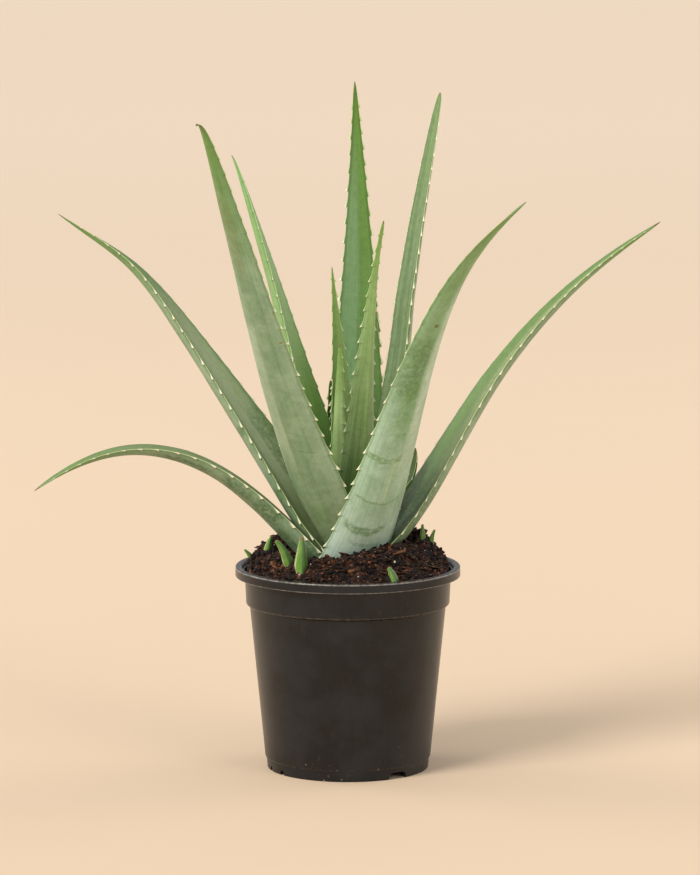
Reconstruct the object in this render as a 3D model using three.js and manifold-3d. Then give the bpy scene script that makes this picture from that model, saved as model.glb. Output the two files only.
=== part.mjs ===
// Potted aloe: a rosette of thick toothed leaves on a short stem, standing in a heap of dark soil
// in a thin black nursery pot, with young shoots breaking the soil round it.
// Millimetres, +Z up. The origin is the middle of the pot's underside, and the front is at -Y.
import * as THREE from 'three';
import Module from 'manifold-3d';
import { mergeVertices } from 'three/addons/utils/BufferGeometryUtils.js';

const wasm = await Module();
wasm.setup();

// ---------------------------------------------------------------- driving dimensions

const GAP = 0.3; // clearance between pieces that touch

const POT = {
  rimRadius: 85,
  rimTop: 154.5,
  rimSkirt: 147, // lower edge of the rim's skirt
  lipWidth: 4.5,
  collarTopRadius: 78.1,
  collarBottomRadius: 76.9,
  collarFoot: 125.4,
  bodyTopRadius: 74.2,
  bodyBottomRadius: 62.7,
  bandTop: 8.7,
  bandRadius: 61.7,
  footRadius: 61,
  wall: 1.5,
  floorLift: 3.5, // hollow under the floor, between the foot ring and the middle disc
  floorThickness: 1.8,
  discRadius: 22,
  segments: 36,
};
const DRAIN_HOLES = { count: 6, radius: 4.5, circle: 41, sides: 10 };
const NOTCHES = { azimuths: [-52, 38, 128], width: 16, height: 5 };
const SLOTS = { azimuths: [199, 216, 19], width: 4, height: 3.6 };

const SOIL = {
  edgeHeight: 150.5,
  crownRise: 15,
  edgeRadius: 78,
  riseWidth: 30, // distance from the pot's wall over which the soil rises to the crown
  lumpHeight: 1.6,
  rings: 10,
  segments: 36,
};
// The hollow round the stem in which the feet of the inner leaves stand clear of the soil.
const CROWN_HOLLOW = { radius: 17, floor: 157 };
// Heaps and one hollow in the soil: azimuth, distance from the axis, spread and height.
const HEAPS = [
  { azimuth: 15, distance: 58, spread: 18, height: 12 },
  { azimuth: 152, distance: 62, spread: 12, height: 8 },
  { azimuth: 172, distance: 67, spread: 13, height: 8 },
  { azimuth: 75, distance: 52, spread: 20, height: 4 },
  { azimuth: 219, distance: 35, spread: 22, height: -6.5 },
  { azimuth: 330, distance: 39, spread: 17, height: 4 },
];

const CROWN = { x: 4, y: 0 }; // where the rosette's axis stands
const STEM = { radius: 8.5, foot: 112, top: 172 };

const TOOTH = {
  reach: 2.9,
  dwindle: 0.5, // share of the reach lost from foot to tip
  spacing: 15,
  unevenness: 0.3, // spread of the spacing
  crowding: 0.3, // share of the spacing lost at the tip
  tipOffset: 1.1, // the tooth's point stands this far past its foot
  flank: 0.36, // where the long hollow flank ends, as a share of the way to the next tooth
  flankReach: 0.2, // what is left of the reach there
  otherMargin: 37, // shifts the seed, so that the teeth of the two margins don't face each other
  bareTip: 3, // no tooth stands this close to the last ring
};
const EDGE_ROOM = 0.7; // half the thickness of the room kept free along a leaf's margins
const BACK_FULLNESS = 0.62; // 0.5 is an ellipse, 1 a parabola
const LAST_RING = 0.965; // the leaf closes to its point from here
const TIP_FULLNESS = 0.8; // half width added near the tip, which keeps it blunt

// Leaves from the outermost to the innermost. facing: the way the leaf leans, 0 is +X and -90 the
// front. path: the midrib's reach from the axis and its height at the foot, a third, two thirds
// and the tip. sway: how far the tip swings sideways. roll: twist at the foot and at the tip.
const LEAVES = [
  { name: 'leaf_low_left', facing: 188, path: [[6, 155], [47, 184], [125, 241], [241, 216]],
    width: 38.5, thick: 12.7, channel: 4.2, taper: 0.51, belly: 0.13, thin: 0.77, roll: [-1, 0],
    shade: 'sage' },
  { name: 'leaf_front_right', facing: 310, root: { x: 4, y: -5 },
    path: [[3, 156], [62, 283], [110, 373], [193, 445]], width: 55.5, thick: 10.6, channel: 6.4,
    taper: 0.67, belly: 0.11, footShare: 1.1, thin: 0.56, roll: [-6, 29], shade: 'glaucous' },
  { name: 'leaf_left', facing: 169, path: [[7, 157], [119, 318], [170, 380], [228, 417]],
    width: 49, thick: 14.7, channel: 5.9, taper: 0.85, footShare: 0.72, thin: 0.69, roll: [-22, 16],
    shade: 'sage' },
  { name: 'leaf_right', facing: 16, path: [[7, 156], [69, 231], [129, 319], [242, 409]],
    width: 46, thick: 9.6, channel: 4.3, taper: 0.66, belly: 0.11, thin: 0.51, roll: [7, -7], sway: -5,
    shade: 'sage' },
  { name: 'leaf_front_left', facing: 234, root: { x: 4, y: 5 },
    path: [[4, 160], [92, 300], [159, 445], [194, 499]], width: 48, thick: 10.6, channel: 5.8,
    taper: 0.69, belly: 0.21, footShare: 0.64, thin: 0.55, roll: [1, -13], sway: 2, shade: 'sage' },
  { name: 'leaf_short_right', facing: 25, path: [[6, 158], [22, 197], [42, 213], [52, 241]],
    width: 26, thick: 9, channel: 3, shade: 'green' },
  { name: 'leaf_hidden_left', facing: 113, path: [[14, 158], [27, 203], [36, 247], [43.5, 290]],
    width: 24, thick: 7, channel: 3, shade: 'green' },
  { name: 'leaf_back_left', facing: 157, path: [[6, 167], [32, 263], [74, 398], [100, 461]],
    width: 42, thick: 10.5, channel: 4.7, taper: 0.93, belly: 0.15, thin: 0.47, roll: [-21, 31],
    shade: 'green' },
  { name: 'leaf_back_right', facing: 37, path: [[6, 167], [43, 309], [51, 360], [84, 508]],
    width: 26.7, thick: 11.1, channel: 4, taper: 0.44, thin: 0.66, roll: [-7, 1], sway: 2,
    shade: 'glaucous' },
  { name: 'leaf_tall_back', facing: 83, path: [[4, 168], [36, 285], [54, 400], [59, 516]],
    width: 45, thick: 11, channel: 4, taper: 0.92, belly: 0.19, sway: 6, shade: 'green' },
  { name: 'leaf_inner_right', facing: 74, path: [[8, 167], [42, 224], [56, 288], [65, 341]],
    width: 25, thick: 8, channel: 3, shade: 'green' },
  { name: 'leaf_front_centre', facing: 297, path: [[3, 166], [11, 248], [24, 339], [46, 420]],
    width: 33, thick: 10, channel: 4, taper: 1.25, belly: 0.14, thin: 0.64, sway: 2, shade: 'green' },
  { name: 'leaf_inner_left', facing: 128, path: [[3, 172], [13, 252], [17, 300], [26, 379]],
    width: 32, thick: 7, channel: 3, taper: 1.05, belly: 0.17, thin: 0.65, shade: 'green' },
  { name: 'leaf_young', facing: 205, path: [[2, 172], [10, 218], [10, 274], [11, 323]],
    width: 19, thick: 9, channel: 3, taper: 0.54, belly: 0.13, thin: 0.45, shade: 'green' },
];
const BURIED_LEAVES = 7; // the first rows, whose feet reach into the soil
const FOOT_SHARE = 0.3; // the share of such a leaf's length that can meet the soil
const LEAF_DEFAULTS = { taper: 0.65, thin: 0.6, belly: 0.12, footShare: 0.8, roll: [0, 0], sway: 0 };
const UPPER_LINES = [-0.6, 0, 0.6]; // lines along the upper face, as shares of the half width
const BACK_LINES = [0.88, 0.5, 0, -0.5, -0.88];

// Young shoots, whose backs face the front: where each breaks the soil, its lean to the front and
// its sway to the right, its height and width.
const PUPS = [
  { name: 'pup_far_left', x: -73, y: 8, lean: 1, sway: -5.2, height: 7.5, width: 5 },
  { name: 'pup_back_left', x: -61, y: 0, lean: 1, sway: 3.4, height: 12.4, width: 6 },
  { name: 'pup_leaning', x: -43.6, y: -39.2, lean: 2, sway: -10.4, height: 19.3, width: 8.4 },
  { name: 'pup_tallest', x: -34.9, y: -51.6, lean: 1, sway: 0.8, height: 26.2, width: 10.4 },
  { name: 'pup_front_right', x: 34.3, y: -63.9, lean: 1, sway: -4.1, height: 11.5, width: 8 },
  { name: 'pup_back_right', x: 56.6, y: 5, lean: 0.5, sway: -0.2, height: 12.7, width: 5 },
  { name: 'pup_far_right', x: 62.6, y: 10, lean: 1, sway: 3.2, height: 11, width: 4.8 },
];
const PUP_FACING = 270;
const PUP_ROOT = 4; // depth of a shoot's foot below the soil
const PUP_SHAPE = { channel: 0.6, taper: 0.62, belly: 0.32, footShare: 0.3, thinness: 0.55 };
const PUP_RINGS = [0, 0.3, 0.5, 0.7, 0.85, LAST_RING];

const FINISHES = {
  plastic: { color: 0x3a3734, roughness: 0.5, metalness: 0 },
  soil: { color: 0x3a2417, roughness: 0.95, metalness: 0 },
  stem: { color: 0x9a8f66, roughness: 0.8, metalness: 0 },
  sage: { color: 0x87a07c, roughness: 0.5, metalness: 0 },
  glaucous: { color: 0x8fa58c, roughness: 0.5, metalness: 0 },
  green: { color: 0x5f8a4a, roughness: 0.45, metalness: 0 },
  shoot: { color: 0x6fa03c, roughness: 0.4, metalness: 0 },
};

// ---------------------------------------------------------------- helpers

const radians = THREE.MathUtils.degToRad;
const clamp01 = (value) => THREE.MathUtils.clamp(value, 0, 1);
const ease = (value) => THREE.MathUtils.smoothstep(value, 0, 1);

// A repeatable draw between 0 and 1 for a whole number and a seed.
function draw(index, seed) {
  const wave = Math.sin(index * 12.9898 + seed * 78.233) * 43758.5453;
  return wave - Math.floor(wave);
}

function solidFromArrays(positions, faces) {
  const mesh = new wasm.Mesh({
    numProp: 3,
    vertProperties: new Float32Array(positions),
    triVerts: new Uint32Array(faces),
  });
  return new wasm.Manifold(mesh);
}

// A solid from a closed three.js geometry, turned the right way out.
function solidFromGeometry(geometry) {
  geometry.deleteAttribute('normal');
  geometry.deleteAttribute('uv');
  const welded = mergeVertices(geometry, 1e-4);
  const corners = Array.from(welded.index.array);
  const faces = [];
  for (let i = 0; i < corners.length; i += 3) {
    const [a, b, c] = corners.slice(i, i + 3);
    if (a !== b && b !== c && c !== a) faces.push(a, b, c);
  }
  const solid = solidFromArrays(welded.attributes.position.array, faces);
  if (solid.volume() > 0) return solid;
  return solidFromArrays(welded.attributes.position.array, faces.reverse());
}

function largestPiece(solid) {
  return solid.decompose().reduce((best, next) => (next.volume() > best.volume() ? next : best));
}

function geometryFromSolid(solid) {
  const mesh = solid.getMesh();
  const geometry = new THREE.BufferGeometry();
  geometry.setAttribute('position', new THREE.BufferAttribute(mesh.vertProperties, 3));
  geometry.setIndex(new THREE.BufferAttribute(mesh.triVerts, 1));
  geometry.computeVertexNormals();
  return geometry;
}

function piece(name, solid, finish) {
  const material = new THREE.MeshStandardMaterial(FINISHES[finish]);
  material.flatShading = true;
  const mesh = new THREE.Mesh(geometryFromSolid(solid), material);
  mesh.name = name;
  return mesh;
}

// A profile of [radius, height] pairs turned about the Z axis.
function turned(profile, segments) {
  const geometry = new THREE.LatheGeometry(profile.map(([r, z]) => new THREE.Vector2(r, z)), segments);
  geometry.rotateX(Math.PI / 2);
  return geometry;
}

// ---------------------------------------------------------------- pot

// Radius of the pot's inner wall at a height above its floor.
function innerRadius(height) {
  const { wall, bandTop, bodyBottomRadius, bodyTopRadius, collarFoot } = POT;
  const share = (height - bandTop) / (collarFoot - bandTop);
  return THREE.MathUtils.lerp(bodyBottomRadius, bodyTopRadius, share) - wall;
}

function potProfile() {
  const p = POT;
  const lipInner = p.rimRadius - p.lipWidth;
  const floorTop = p.floorLift + p.floorThickness;
  const outside = [
    [p.footRadius, 0],
    [p.bandRadius, p.bandTop - 0.3],
    [p.bodyBottomRadius, p.bandTop + 0.3],
    [p.bodyTopRadius, p.collarFoot - 0.6],
    [p.collarBottomRadius, p.collarFoot + 0.6],
    [p.collarTopRadius, p.rimTop - 3.2],
  ];
  const rim = [
    [p.rimRadius - p.wall, p.rimTop - 3.2],
    [p.rimRadius - p.wall, p.rimSkirt + 0.4],
    [p.rimRadius - 0.5, p.rimSkirt],
    [p.rimRadius, p.rimSkirt + 0.6],
    [p.rimRadius, p.rimTop - 2],
    [p.rimRadius - 0.7, p.rimTop - 0.6],
    [p.rimRadius - 2.2, p.rimTop],
    [lipInner + 0.6, p.rimTop - 0.4],
    [lipInner - 0.6, p.rimTop - 1.6],
  ];
  const inside = [
    [p.collarTopRadius - p.wall, p.rimTop - 8],
    [p.collarBottomRadius - p.wall, p.collarFoot + 1.4],
    [p.bodyTopRadius - p.wall, p.collarFoot - 1],
    [innerRadius(p.bandTop), p.bandTop],
    [p.bandRadius - p.wall, p.bandTop - 1],
    [p.bandRadius - p.wall - 0.4, floorTop],
  ];
  const underside = [
    [0, 0],
    [p.discRadius, 0],
    [p.discRadius + 2, p.floorLift],
    [p.footRadius - 5, p.floorLift],
    [p.footRadius - 2.6, 0],
  ];
  const floor = [
    [p.discRadius + 3, floorTop],
    [p.discRadius - 1, p.floorThickness],
    [0, p.floorThickness],
  ];
  return [...underside, ...outside, ...rim, ...inside, ...floor];
}

// Boxes that cut arches through the foot ring from outside.
function footCutters({ azimuths, width, height }) {
  return azimuths.map((azimuth) => {
    const box = new THREE.BoxGeometry(12, width, 2 * height);
    box.translate(POT.footRadius, 0, 0);
    box.rotateZ(radians(azimuth));
    return solidFromGeometry(box);
  });
}

function drainCutters() {
  return Array.from({ length: DRAIN_HOLES.count }, (_, index) => {
    const drill = new THREE.CylinderGeometry(DRAIN_HOLES.radius, DRAIN_HOLES.radius, 12, DRAIN_HOLES.sides);
    drill.rotateX(Math.PI / 2);
    drill.translate(DRAIN_HOLES.circle, 0, POT.floorLift);
    drill.rotateZ((index * 2 * Math.PI) / DRAIN_HOLES.count);
    return solidFromGeometry(drill);
  });
}

function potSolid() {
  const body = solidFromGeometry(turned(potProfile(), POT.segments));
  const cutters = [...footCutters(NOTCHES), ...footCutters(SLOTS), ...drainCutters()];
  return body.subtract(wasm.Manifold.union(cutters));
}

// ---------------------------------------------------------------- soil

// Height of the soil's surface: it rises from the wall to the crown, with heaps against the wall.
function soilHeight(x, y) {
  const distance = Math.hypot(x, y);
  const rise = SOIL.crownRise * ease(clamp01((SOIL.edgeRadius + 2 - distance) / SOIL.riseWidth));
  const clearOfWall = ease(clamp01((SOIL.edgeRadius + 3 - distance) / 7));
  const heaped = HEAPS.reduce((sum, heap) => {
    const dx = x - heap.distance * Math.cos(radians(heap.azimuth));
    const dy = y - heap.distance * Math.sin(radians(heap.azimuth));
    return sum + heap.height * Math.exp(-(dx * dx + dy * dy) / heap.spread ** 2);
  }, 0);
  const lumps = Math.sin(x * 0.31 + 1.3 * Math.sin(y * 0.23)) * Math.sin(y * 0.37 + Math.sin(x * 0.19));
  return SOIL.edgeHeight + rise + clearOfWall * (heaped + SOIL.lumpHeight * lumps);
}

// A lathe of the pot's inside whose top face is lifted to the soil's surface.
function soilBody() {
  const floorTop = POT.floorLift + POT.floorThickness + GAP;
  const surface = Array.from({ length: SOIL.rings }, (_, ring) => [
    (SOIL.edgeRadius * ring) / (SOIL.rings - 1), SOIL.edgeHeight]);
  const wall = [
    [POT.collarTopRadius - POT.wall - GAP, POT.rimTop - 8],
    [POT.collarBottomRadius - POT.wall - GAP, POT.collarFoot + 1.4],
    [POT.bodyTopRadius - POT.wall - GAP, POT.collarFoot - 1],
    [innerRadius(POT.bandTop) - 1 - GAP, POT.bandTop],
    [POT.bandRadius - POT.wall - 1, floorTop],
    [POT.discRadius + 3, floorTop],
    [POT.discRadius - 1.5, POT.floorThickness + GAP],
    [0, POT.floorThickness + GAP],
  ];
  const geometry = turned([...surface, ...wall], SOIL.segments);
  const points = geometry.attributes.position;
  for (let i = 0; i < points.count; i += 1) {
    if (points.getZ(i) >= SOIL.edgeHeight - 1e-3) {
      points.setZ(i, soilHeight(points.getX(i), points.getY(i)));
    }
  }
  return solidFromGeometry(geometry);
}

// ---------------------------------------------------------------- leaves

// The midrib: a cubic through its four measured points, taken at equal steps.
function midrib(leaf) {
  const out = new THREE.Vector3(Math.cos(radians(leaf.facing)), Math.sin(radians(leaf.facing)), 0);
  const side = new THREE.Vector3(-out.y, out.x, 0);
  const root = leaf.root ?? CROWN;
  const points = leaf.path.map(([reach, height], index) => new THREE.Vector3(root.x, root.y, height)
    .addScaledVector(out, reach)
    .addScaledVector(side, leaf.sway * (index / 3) ** 2));
  const handle = (a, b, c, d) => new THREE.Vector3()
    .addScaledVector(a, -5 / 6)
    .addScaledVector(b, 3)
    .addScaledVector(c, -1.5)
    .addScaledVector(d, 1 / 3);
  const [foot, third, twoThirds, tip] = points;
  const lower = handle(foot, third, twoThirds, tip);
  const upper = handle(tip, twoThirds, third, foot);
  return { curve: new THREE.CubicBezierCurve3(foot, lower, upper, tip), side };
}

// Point on the midrib with the leaf's own directions: along it, across it and up from its
// channelled upper face.
function frameAt(leaf, rib, share) {
  const t = rib.curve.getUtoTmapping(share);
  const along = rib.curve.getTangent(t);
  const level = new THREE.Vector3().crossVectors(along, rib.side).normalize();
  const twist = radians(THREE.MathUtils.lerp(leaf.roll[0], leaf.roll[1], t));
  const lift = level.applyAxisAngle(along, twist);
  const across = new THREE.Vector3().crossVectors(along, lift);
  return { point: rib.curve.getPoint(t), lift, across };
}

function halfWidth(leaf, share) {
  const foot = THREE.MathUtils.lerp(leaf.footShare, 1, ease(clamp01(share / leaf.belly)));
  const narrowing = Math.min(1, ((1 - share) / (1 - leaf.belly)) ** leaf.taper);
  const blunt = TIP_FULLNESS * share ** 8 * Math.sqrt(Math.min(1, (1 - share) / 0.03));
  return (leaf.width / 2) * foot * narrowing + blunt;
}

// Heights of the upper face and of the rounded back above the midrib's line.
function upperFace(leaf, share, u) {
  return leaf.channel * (1 - share) * u * u;
}

function backFace(leaf, share, u) {
  const depth = leaf.channel * (1 - share) + leaf.thick * (1 - share) ** leaf.thin;
  return leaf.channel * (1 - share) - depth * (1 - u * u) ** BACK_FULLNESS;
}

// Where the teeth of a margin stand, as shares of the leaf's length.
function toothPlaces(length, seed) {
  const places = [0];
  let along = 0;
  for (let index = 0; along < length; index += 1) {
    const uneven = 1 + TOOTH.unevenness * (draw(index, seed) - 0.5);
    along += TOOTH.spacing * uneven * (1 - TOOTH.crowding * (along / length) ** 2);
    if (along < length * LAST_RING - TOOTH.bareTip) places.push(along / length);
  }
  places.push(LAST_RING);
  return places;
}

// The margin's own steps: a hooked tooth just past each ring, then a long hollow flank.
function marginSteps(places, length) {
  const steps = [];
  places.slice(0, -1).forEach((place, index) => {
    const gap = places[index + 1] - place;
    const reach = TOOTH.reach * (1 - TOOTH.dwindle * place);
    steps.push({ share: place, reach: 0 });
    steps.push({ share: place + TOOTH.tipOffset / length, reach });
    steps.push({ share: place + gap * TOOTH.flank, reach: reach * TOOTH.flankReach });
  });
  steps.push({ share: places[places.length - 1], reach: 0 });
  return steps;
}

// A leaf's midrib, the places of its rings, and the steps of its left and right margins.
function leafLayout(leaf) {
  const rib = midrib(leaf);
  const length = rib.curve.getLength();
  if (leaf.plain) {
    const margin = leaf.plain.map((share) => ({ share, reach: 0 }));
    return { rib, places: leaf.plain, margins: [margin, margin] };
  }
  const places = toothPlaces(length, leaf.facing);
  const others = toothPlaces(length, leaf.facing + TOOTH.otherMargin);
  return { rib, places, margins: [marginSteps(places, length), marginSteps(others, length)] };
}

// Triangles between two lines of the leaf, each a list of { id, share } from foot to tip.
function stitch(left, right, faces) {
  let i = 0;
  let j = 0;
  while (i < left.length - 1 || j < right.length - 1) {
    const leftNext = i < left.length - 1 ? left[i + 1].share : Infinity;
    const rightNext = j < right.length - 1 ? right[j + 1].share : Infinity;
    if (leftNext <= rightNext) {
      faces.push(left[i].id, right[j].id, left[i + 1].id);
      i += 1;
    } else {
      faces.push(left[i].id, right[j].id, right[j + 1].id);
      j += 1;
    }
  }
}

// Closes a loft of lines that run along a leaf: strips between neighbours, a point at the tip and
// a flat end at the foot.
function closedLoft(lines, footPoint, tipPoint) {
  const positions = [];
  const faces = [];
  const add = (point) => positions.push(point.x, point.y, point.z) / 3 - 1;
  const columns = lines.map((line) => line.map(({ share, point }) => ({ share, id: add(point) })));
  const foot = add(footPoint);
  const tip = add(tipPoint);
  columns.forEach((left, index) => {
    const right = columns[(index + 1) % columns.length];
    stitch(left, right, faces);
    faces.push(right[0].id, left[0].id, foot);
    faces.push(left[left.length - 1].id, right[right.length - 1].id, tip);
  });
  return solidFromArrays(positions, faces);
}

// Offset of a point of the leaf's section from the midrib, placed in space.
function leafPoint(leaf, rib, share, across, lift) {
  const frame = frameAt(leaf, rib, share);
  return frame.point.addScaledVector(frame.across, across).addScaledVector(frame.lift, lift);
}

// One leaf with its teeth grown on its margins.
function leafSolid(leaf) {
  const { rib, places, margins } = leafLayout(leaf);
  const faceLine = (face, u) => places.map((share) => (
    { share, point: leafPoint(leaf, rib, share, halfWidth(leaf, share) * u, face(leaf, share, u)) }));
  const marginLine = (sign, steps) => steps.map(({ share, reach }) => {
    const across = sign * (halfWidth(leaf, share) + reach);
    return { share, point: leafPoint(leaf, rib, share, across, upperFace(leaf, share, 1)) };
  });
  const [left, right] = margins;
  const lines = [
    ...UPPER_LINES.map((u) => faceLine(upperFace, u)),
    marginLine(1, right),
    ...BACK_LINES.map((u) => faceLine(backFace, u)),
    marginLine(-1, left),
  ];
  const footPoint = leafPoint(leaf, rib, 0, 0, backFace(leaf, 0, 0) / 2);
  return closedLoft(lines, footPoint, rib.curve.getPoint(1));
}

// The room that a leaf takes up as far as the share `end` of its length, teeth included, grown by
// the clearance on every side and with blunt edges. It is taken out of the pieces inside or below
// it, so that they are tucked behind the leaf's margins.
function leafRoom(leaf, end = LAST_RING) {
  const { rib, places, margins } = leafLayout(leaf);
  const rings = places.filter((share) => share <= end);
  const edgeSteps = margins.map((steps) => steps.map(({ share }) => share).filter((share) => share <= end));
  const reach = (leaf.plain ? 0 : TOOTH.reach) + GAP;
  const line = (shares, across, lift) => shares.map((share) => (
    { share, point: leafPoint(leaf, rib, share, across(share), lift(share)) }));
  const edge = (sign, beyond, lift) => line(edgeSteps[sign > 0 ? 1 : 0],
    (share) => sign * (halfWidth(leaf, share) + beyond), (share) => upperFace(leaf, share, 1) + lift);
  const over = (u) => line(rings,
    (share) => halfWidth(leaf, share) * u, (share) => upperFace(leaf, share, u) + GAP);
  const under = (u) => line(rings,
    (share) => halfWidth(leaf, share) * u, (share) => backFace(leaf, share, u) - GAP);
  const lines = [
    ...UPPER_LINES.map(over),
    edge(1, 0, EDGE_ROOM), edge(1, reach, EDGE_ROOM), edge(1, reach, -EDGE_ROOM),
    ...BACK_LINES.map(under),
    edge(-1, reach, -EDGE_ROOM), edge(-1, reach, EDGE_ROOM), edge(-1, 0, EDGE_ROOM),
  ];
  const below = rib.curve.getTangent(0).multiplyScalar(-GAP);
  const footPoint = leafPoint(leaf, rib, 0, 0, backFace(leaf, 0, 0) / 2).add(below);
  const last = rings[rings.length - 1];
  return closedLoft(lines, footPoint, leafPoint(leaf, rib, last + 1 - LAST_RING, 0, 0));
}

// ---------------------------------------------------------------- stem and young shoots

function stemProfile(grow) {
  const { radius, foot, top } = STEM;
  return [
    [0, foot - grow],
    [radius * 0.7 + grow, foot - grow],
    [radius + grow, foot + 8],
    [radius + grow, top - 5],
    [radius * 0.7 + grow, top - 1 + grow],
    [0, top + grow],
  ];
}

function stemSolid(grow) {
  const solid = solidFromGeometry(turned(stemProfile(grow), 16));
  return solid.translate([CROWN.x, CROWN.y, 0]);
}

function crownHollow() {
  const { radius, floor } = CROWN_HOLLOW;
  const height = 2 * (SOIL.edgeHeight + SOIL.crownRise - floor);
  const hollow = new THREE.CylinderGeometry(radius, radius, height, 16);
  hollow.rotateX(Math.PI / 2);
  hollow.translate(CROWN.x, CROWN.y, floor + height / 2);
  return solidFromGeometry(hollow);
}

// A shoot is a small closed leaf, as thick as it is deep, that stands in the soil.
function shootLeaf(pup) {
  const surface = soilHeight(pup.x, pup.y);
  const steps = [[0, -PUP_ROOT / pup.height], [0.15, 0.15], [0.5, 0.58], [1, 1]];
  return {
    ...LEAF_DEFAULTS,
    ...PUP_SHAPE,
    name: pup.name,
    facing: PUP_FACING,
    sway: pup.sway,
    root: { x: pup.x, y: pup.y },
    path: steps.map(([lean, rise]) => [pup.lean * lean, surface + pup.height * rise]),
    width: pup.width,
    thick: pup.width * PUP_SHAPE.thinness,
    plain: PUP_RINGS,
  };
}

// ---------------------------------------------------------------- assembly

// What is left of a solid beside the rooms of the pieces that come first.
function beside(solid, rooms) {
  return largestPiece(solid.subtract(wasm.Manifold.union(rooms)));
}

const plant = new THREE.Group();
const leaves = LEAVES.map((row) => ({ ...LEAF_DEFAULTS, ...row }));
const shoots = PUPS.map(shootLeaf);
const stemRoom = stemSolid(GAP);

const taken = [stemRoom];
leaves.forEach((leaf) => {
  plant.add(piece(leaf.name, beside(leafSolid(leaf), taken), leaf.shade));
  taken.push(leafRoom(leaf));
});
shoots.forEach((shoot) => plant.add(piece(shoot.name, beside(leafSolid(shoot), taken), 'shoot')));

const buried = [
  ...leaves.slice(0, BURIED_LEAVES).map((leaf) => leafRoom(leaf, FOOT_SHARE)),
  ...shoots.map((shoot) => leafRoom(shoot)),
];
plant.add(piece('stem', stemSolid(0), 'stem'));
plant.add(piece('soil', beside(soilBody(), [stemRoom, crownHollow(), ...buried]), 'soil'));
plant.add(piece('pot', potSolid(), 'plastic'));

export default plant;
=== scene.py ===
"""The looks of a potted aloe: toothed leaves, young shoots, stem, soil and nursery pot.

Sizes in the classes are millimetres, as on the real plant, and every mesh is written in metres. The
origin is the middle of the pot's underside, +Z is up and the front is at -Y.
"""

import itertools
import logging
import math
from dataclasses import dataclass, field, replace
from enum import Enum
from functools import partial
from typing import ClassVar

import bpy
import numpy as np
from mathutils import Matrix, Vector


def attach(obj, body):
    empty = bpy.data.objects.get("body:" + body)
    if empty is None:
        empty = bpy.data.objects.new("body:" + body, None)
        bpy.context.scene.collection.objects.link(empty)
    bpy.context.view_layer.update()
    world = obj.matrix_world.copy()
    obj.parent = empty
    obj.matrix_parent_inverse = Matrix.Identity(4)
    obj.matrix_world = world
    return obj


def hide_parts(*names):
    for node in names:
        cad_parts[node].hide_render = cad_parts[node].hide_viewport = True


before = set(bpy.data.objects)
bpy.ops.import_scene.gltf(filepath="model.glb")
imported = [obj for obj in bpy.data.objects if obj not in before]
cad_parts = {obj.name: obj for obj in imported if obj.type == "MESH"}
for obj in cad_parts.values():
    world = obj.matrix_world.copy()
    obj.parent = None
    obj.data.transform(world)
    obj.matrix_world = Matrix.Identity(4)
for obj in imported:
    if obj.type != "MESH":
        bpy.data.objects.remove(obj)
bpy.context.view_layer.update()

LOG = logging.getLogger("aloe")
METRES = 0.001  # metres in a millimetre
BODY = "root"
DRAW_WEIGHTS = (12.9898, 78.233, 37.719, 93.989)
DRAW_SPREAD = 43758.5453
SHOOT_ZONE = 190.0  # height in mm below which leaves and shoots keep the loose bits off

UP = np.array([0.0, 0.0, 1.0])
Array = np.ndarray
Triple = tuple[float, float, float]  # a place, a direction or three factors
Colour = Triple  # linear red, green and blue


def screen(red: int, green: int, blue: int) -> Colour:
    """Linear colour of a screen colour.

    Formula: each number over 255, raised to 2.2.

    Args:
        red, green, blue: the screen's numbers, 0 to 255.

    Returns:
        The linear red, green and blue.
    """
    return tuple((value / 255) ** 2.2 for value in (red, green, blue))


def smooth(value: Array) -> Array:
    """Smooth step 3v2 - 2v3 of values held between 0 and 1."""
    held = np.clip(value, 0.0, 1.0)
    return held * held * (3.0 - 2.0 * held)


def unit(vectors: Array) -> Array:
    """Vectors brought to unit length."""
    return vectors / np.linalg.norm(vectors, axis=-1, keepdims=True)


def draw(*numbers: Array | float) -> Array:
    """Repeatable draws between 0 and 1.

    Formula: the fraction of a large number times the sine of a weighted sum of the numbers.

    Args:
        numbers: up to four numbers or arrays that name the draw.

    Returns:
        One draw for each element.
    """
    total = sum(weight * np.asarray(number, float) for weight, number in zip(DRAW_WEIGHTS, numbers))
    wave = np.sin(total) * DRAW_SPREAD
    return wave - np.floor(wave)


@dataclass(frozen=True)
class Noise:
    """Smooth repeatable noise over one to three coordinates."""

    size: float
    seed: float
    octaves: int = 1

    OCTAVE_SHIFT: ClassVar[float] = 17.3  # in cells, so that octaves don't line up
    OCTAVE_SEED: ClassVar[float] = 7.1

    def at(self, *axes: Array) -> Array:
        """Noise at points.

        Formula: draws at the corners of a lattice with a smooth step between them; each further
        octave has half the size and half the strength.

        Args:
            axes: one array for each coordinate, in the unit of size.

        Returns:
            Values from -1 to 1.
        """
        total, reach = 0.0, 0.0
        for octave in range(self.octaves):
            strength = 0.5**octave
            spots = [axis / self.size * 2**octave + self.OCTAVE_SHIFT * octave for axis in axes]
            total = total + strength * self._blend(spots, self.seed + self.OCTAVE_SEED * octave)
            reach += strength
        return total / reach

    @staticmethod
    def _blend(spots: list[Array], seed: float) -> Array:
        """Draws at the corners of each spot's cell, blended by smooth steps.

        Args:
            spots: coordinates in cells, one array for each axis.
            seed: names the draws.

        Returns:
            Values from -1 to 1.
        """
        cells = [np.floor(spot) for spot in spots]
        shares = [smooth(spot - cell) for spot, cell in zip(spots, cells)]
        total = 0.0
        for corner in itertools.product((0, 1), repeat=len(spots)):
            weight = 1.0
            for step, share in zip(corner, shares):
                weight = weight * (share if step else 1.0 - share)
            total = total + weight * draw(*(cell + step for cell, step in zip(cells, corner)), seed)
        return 2.0 * total - 1.0


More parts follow.
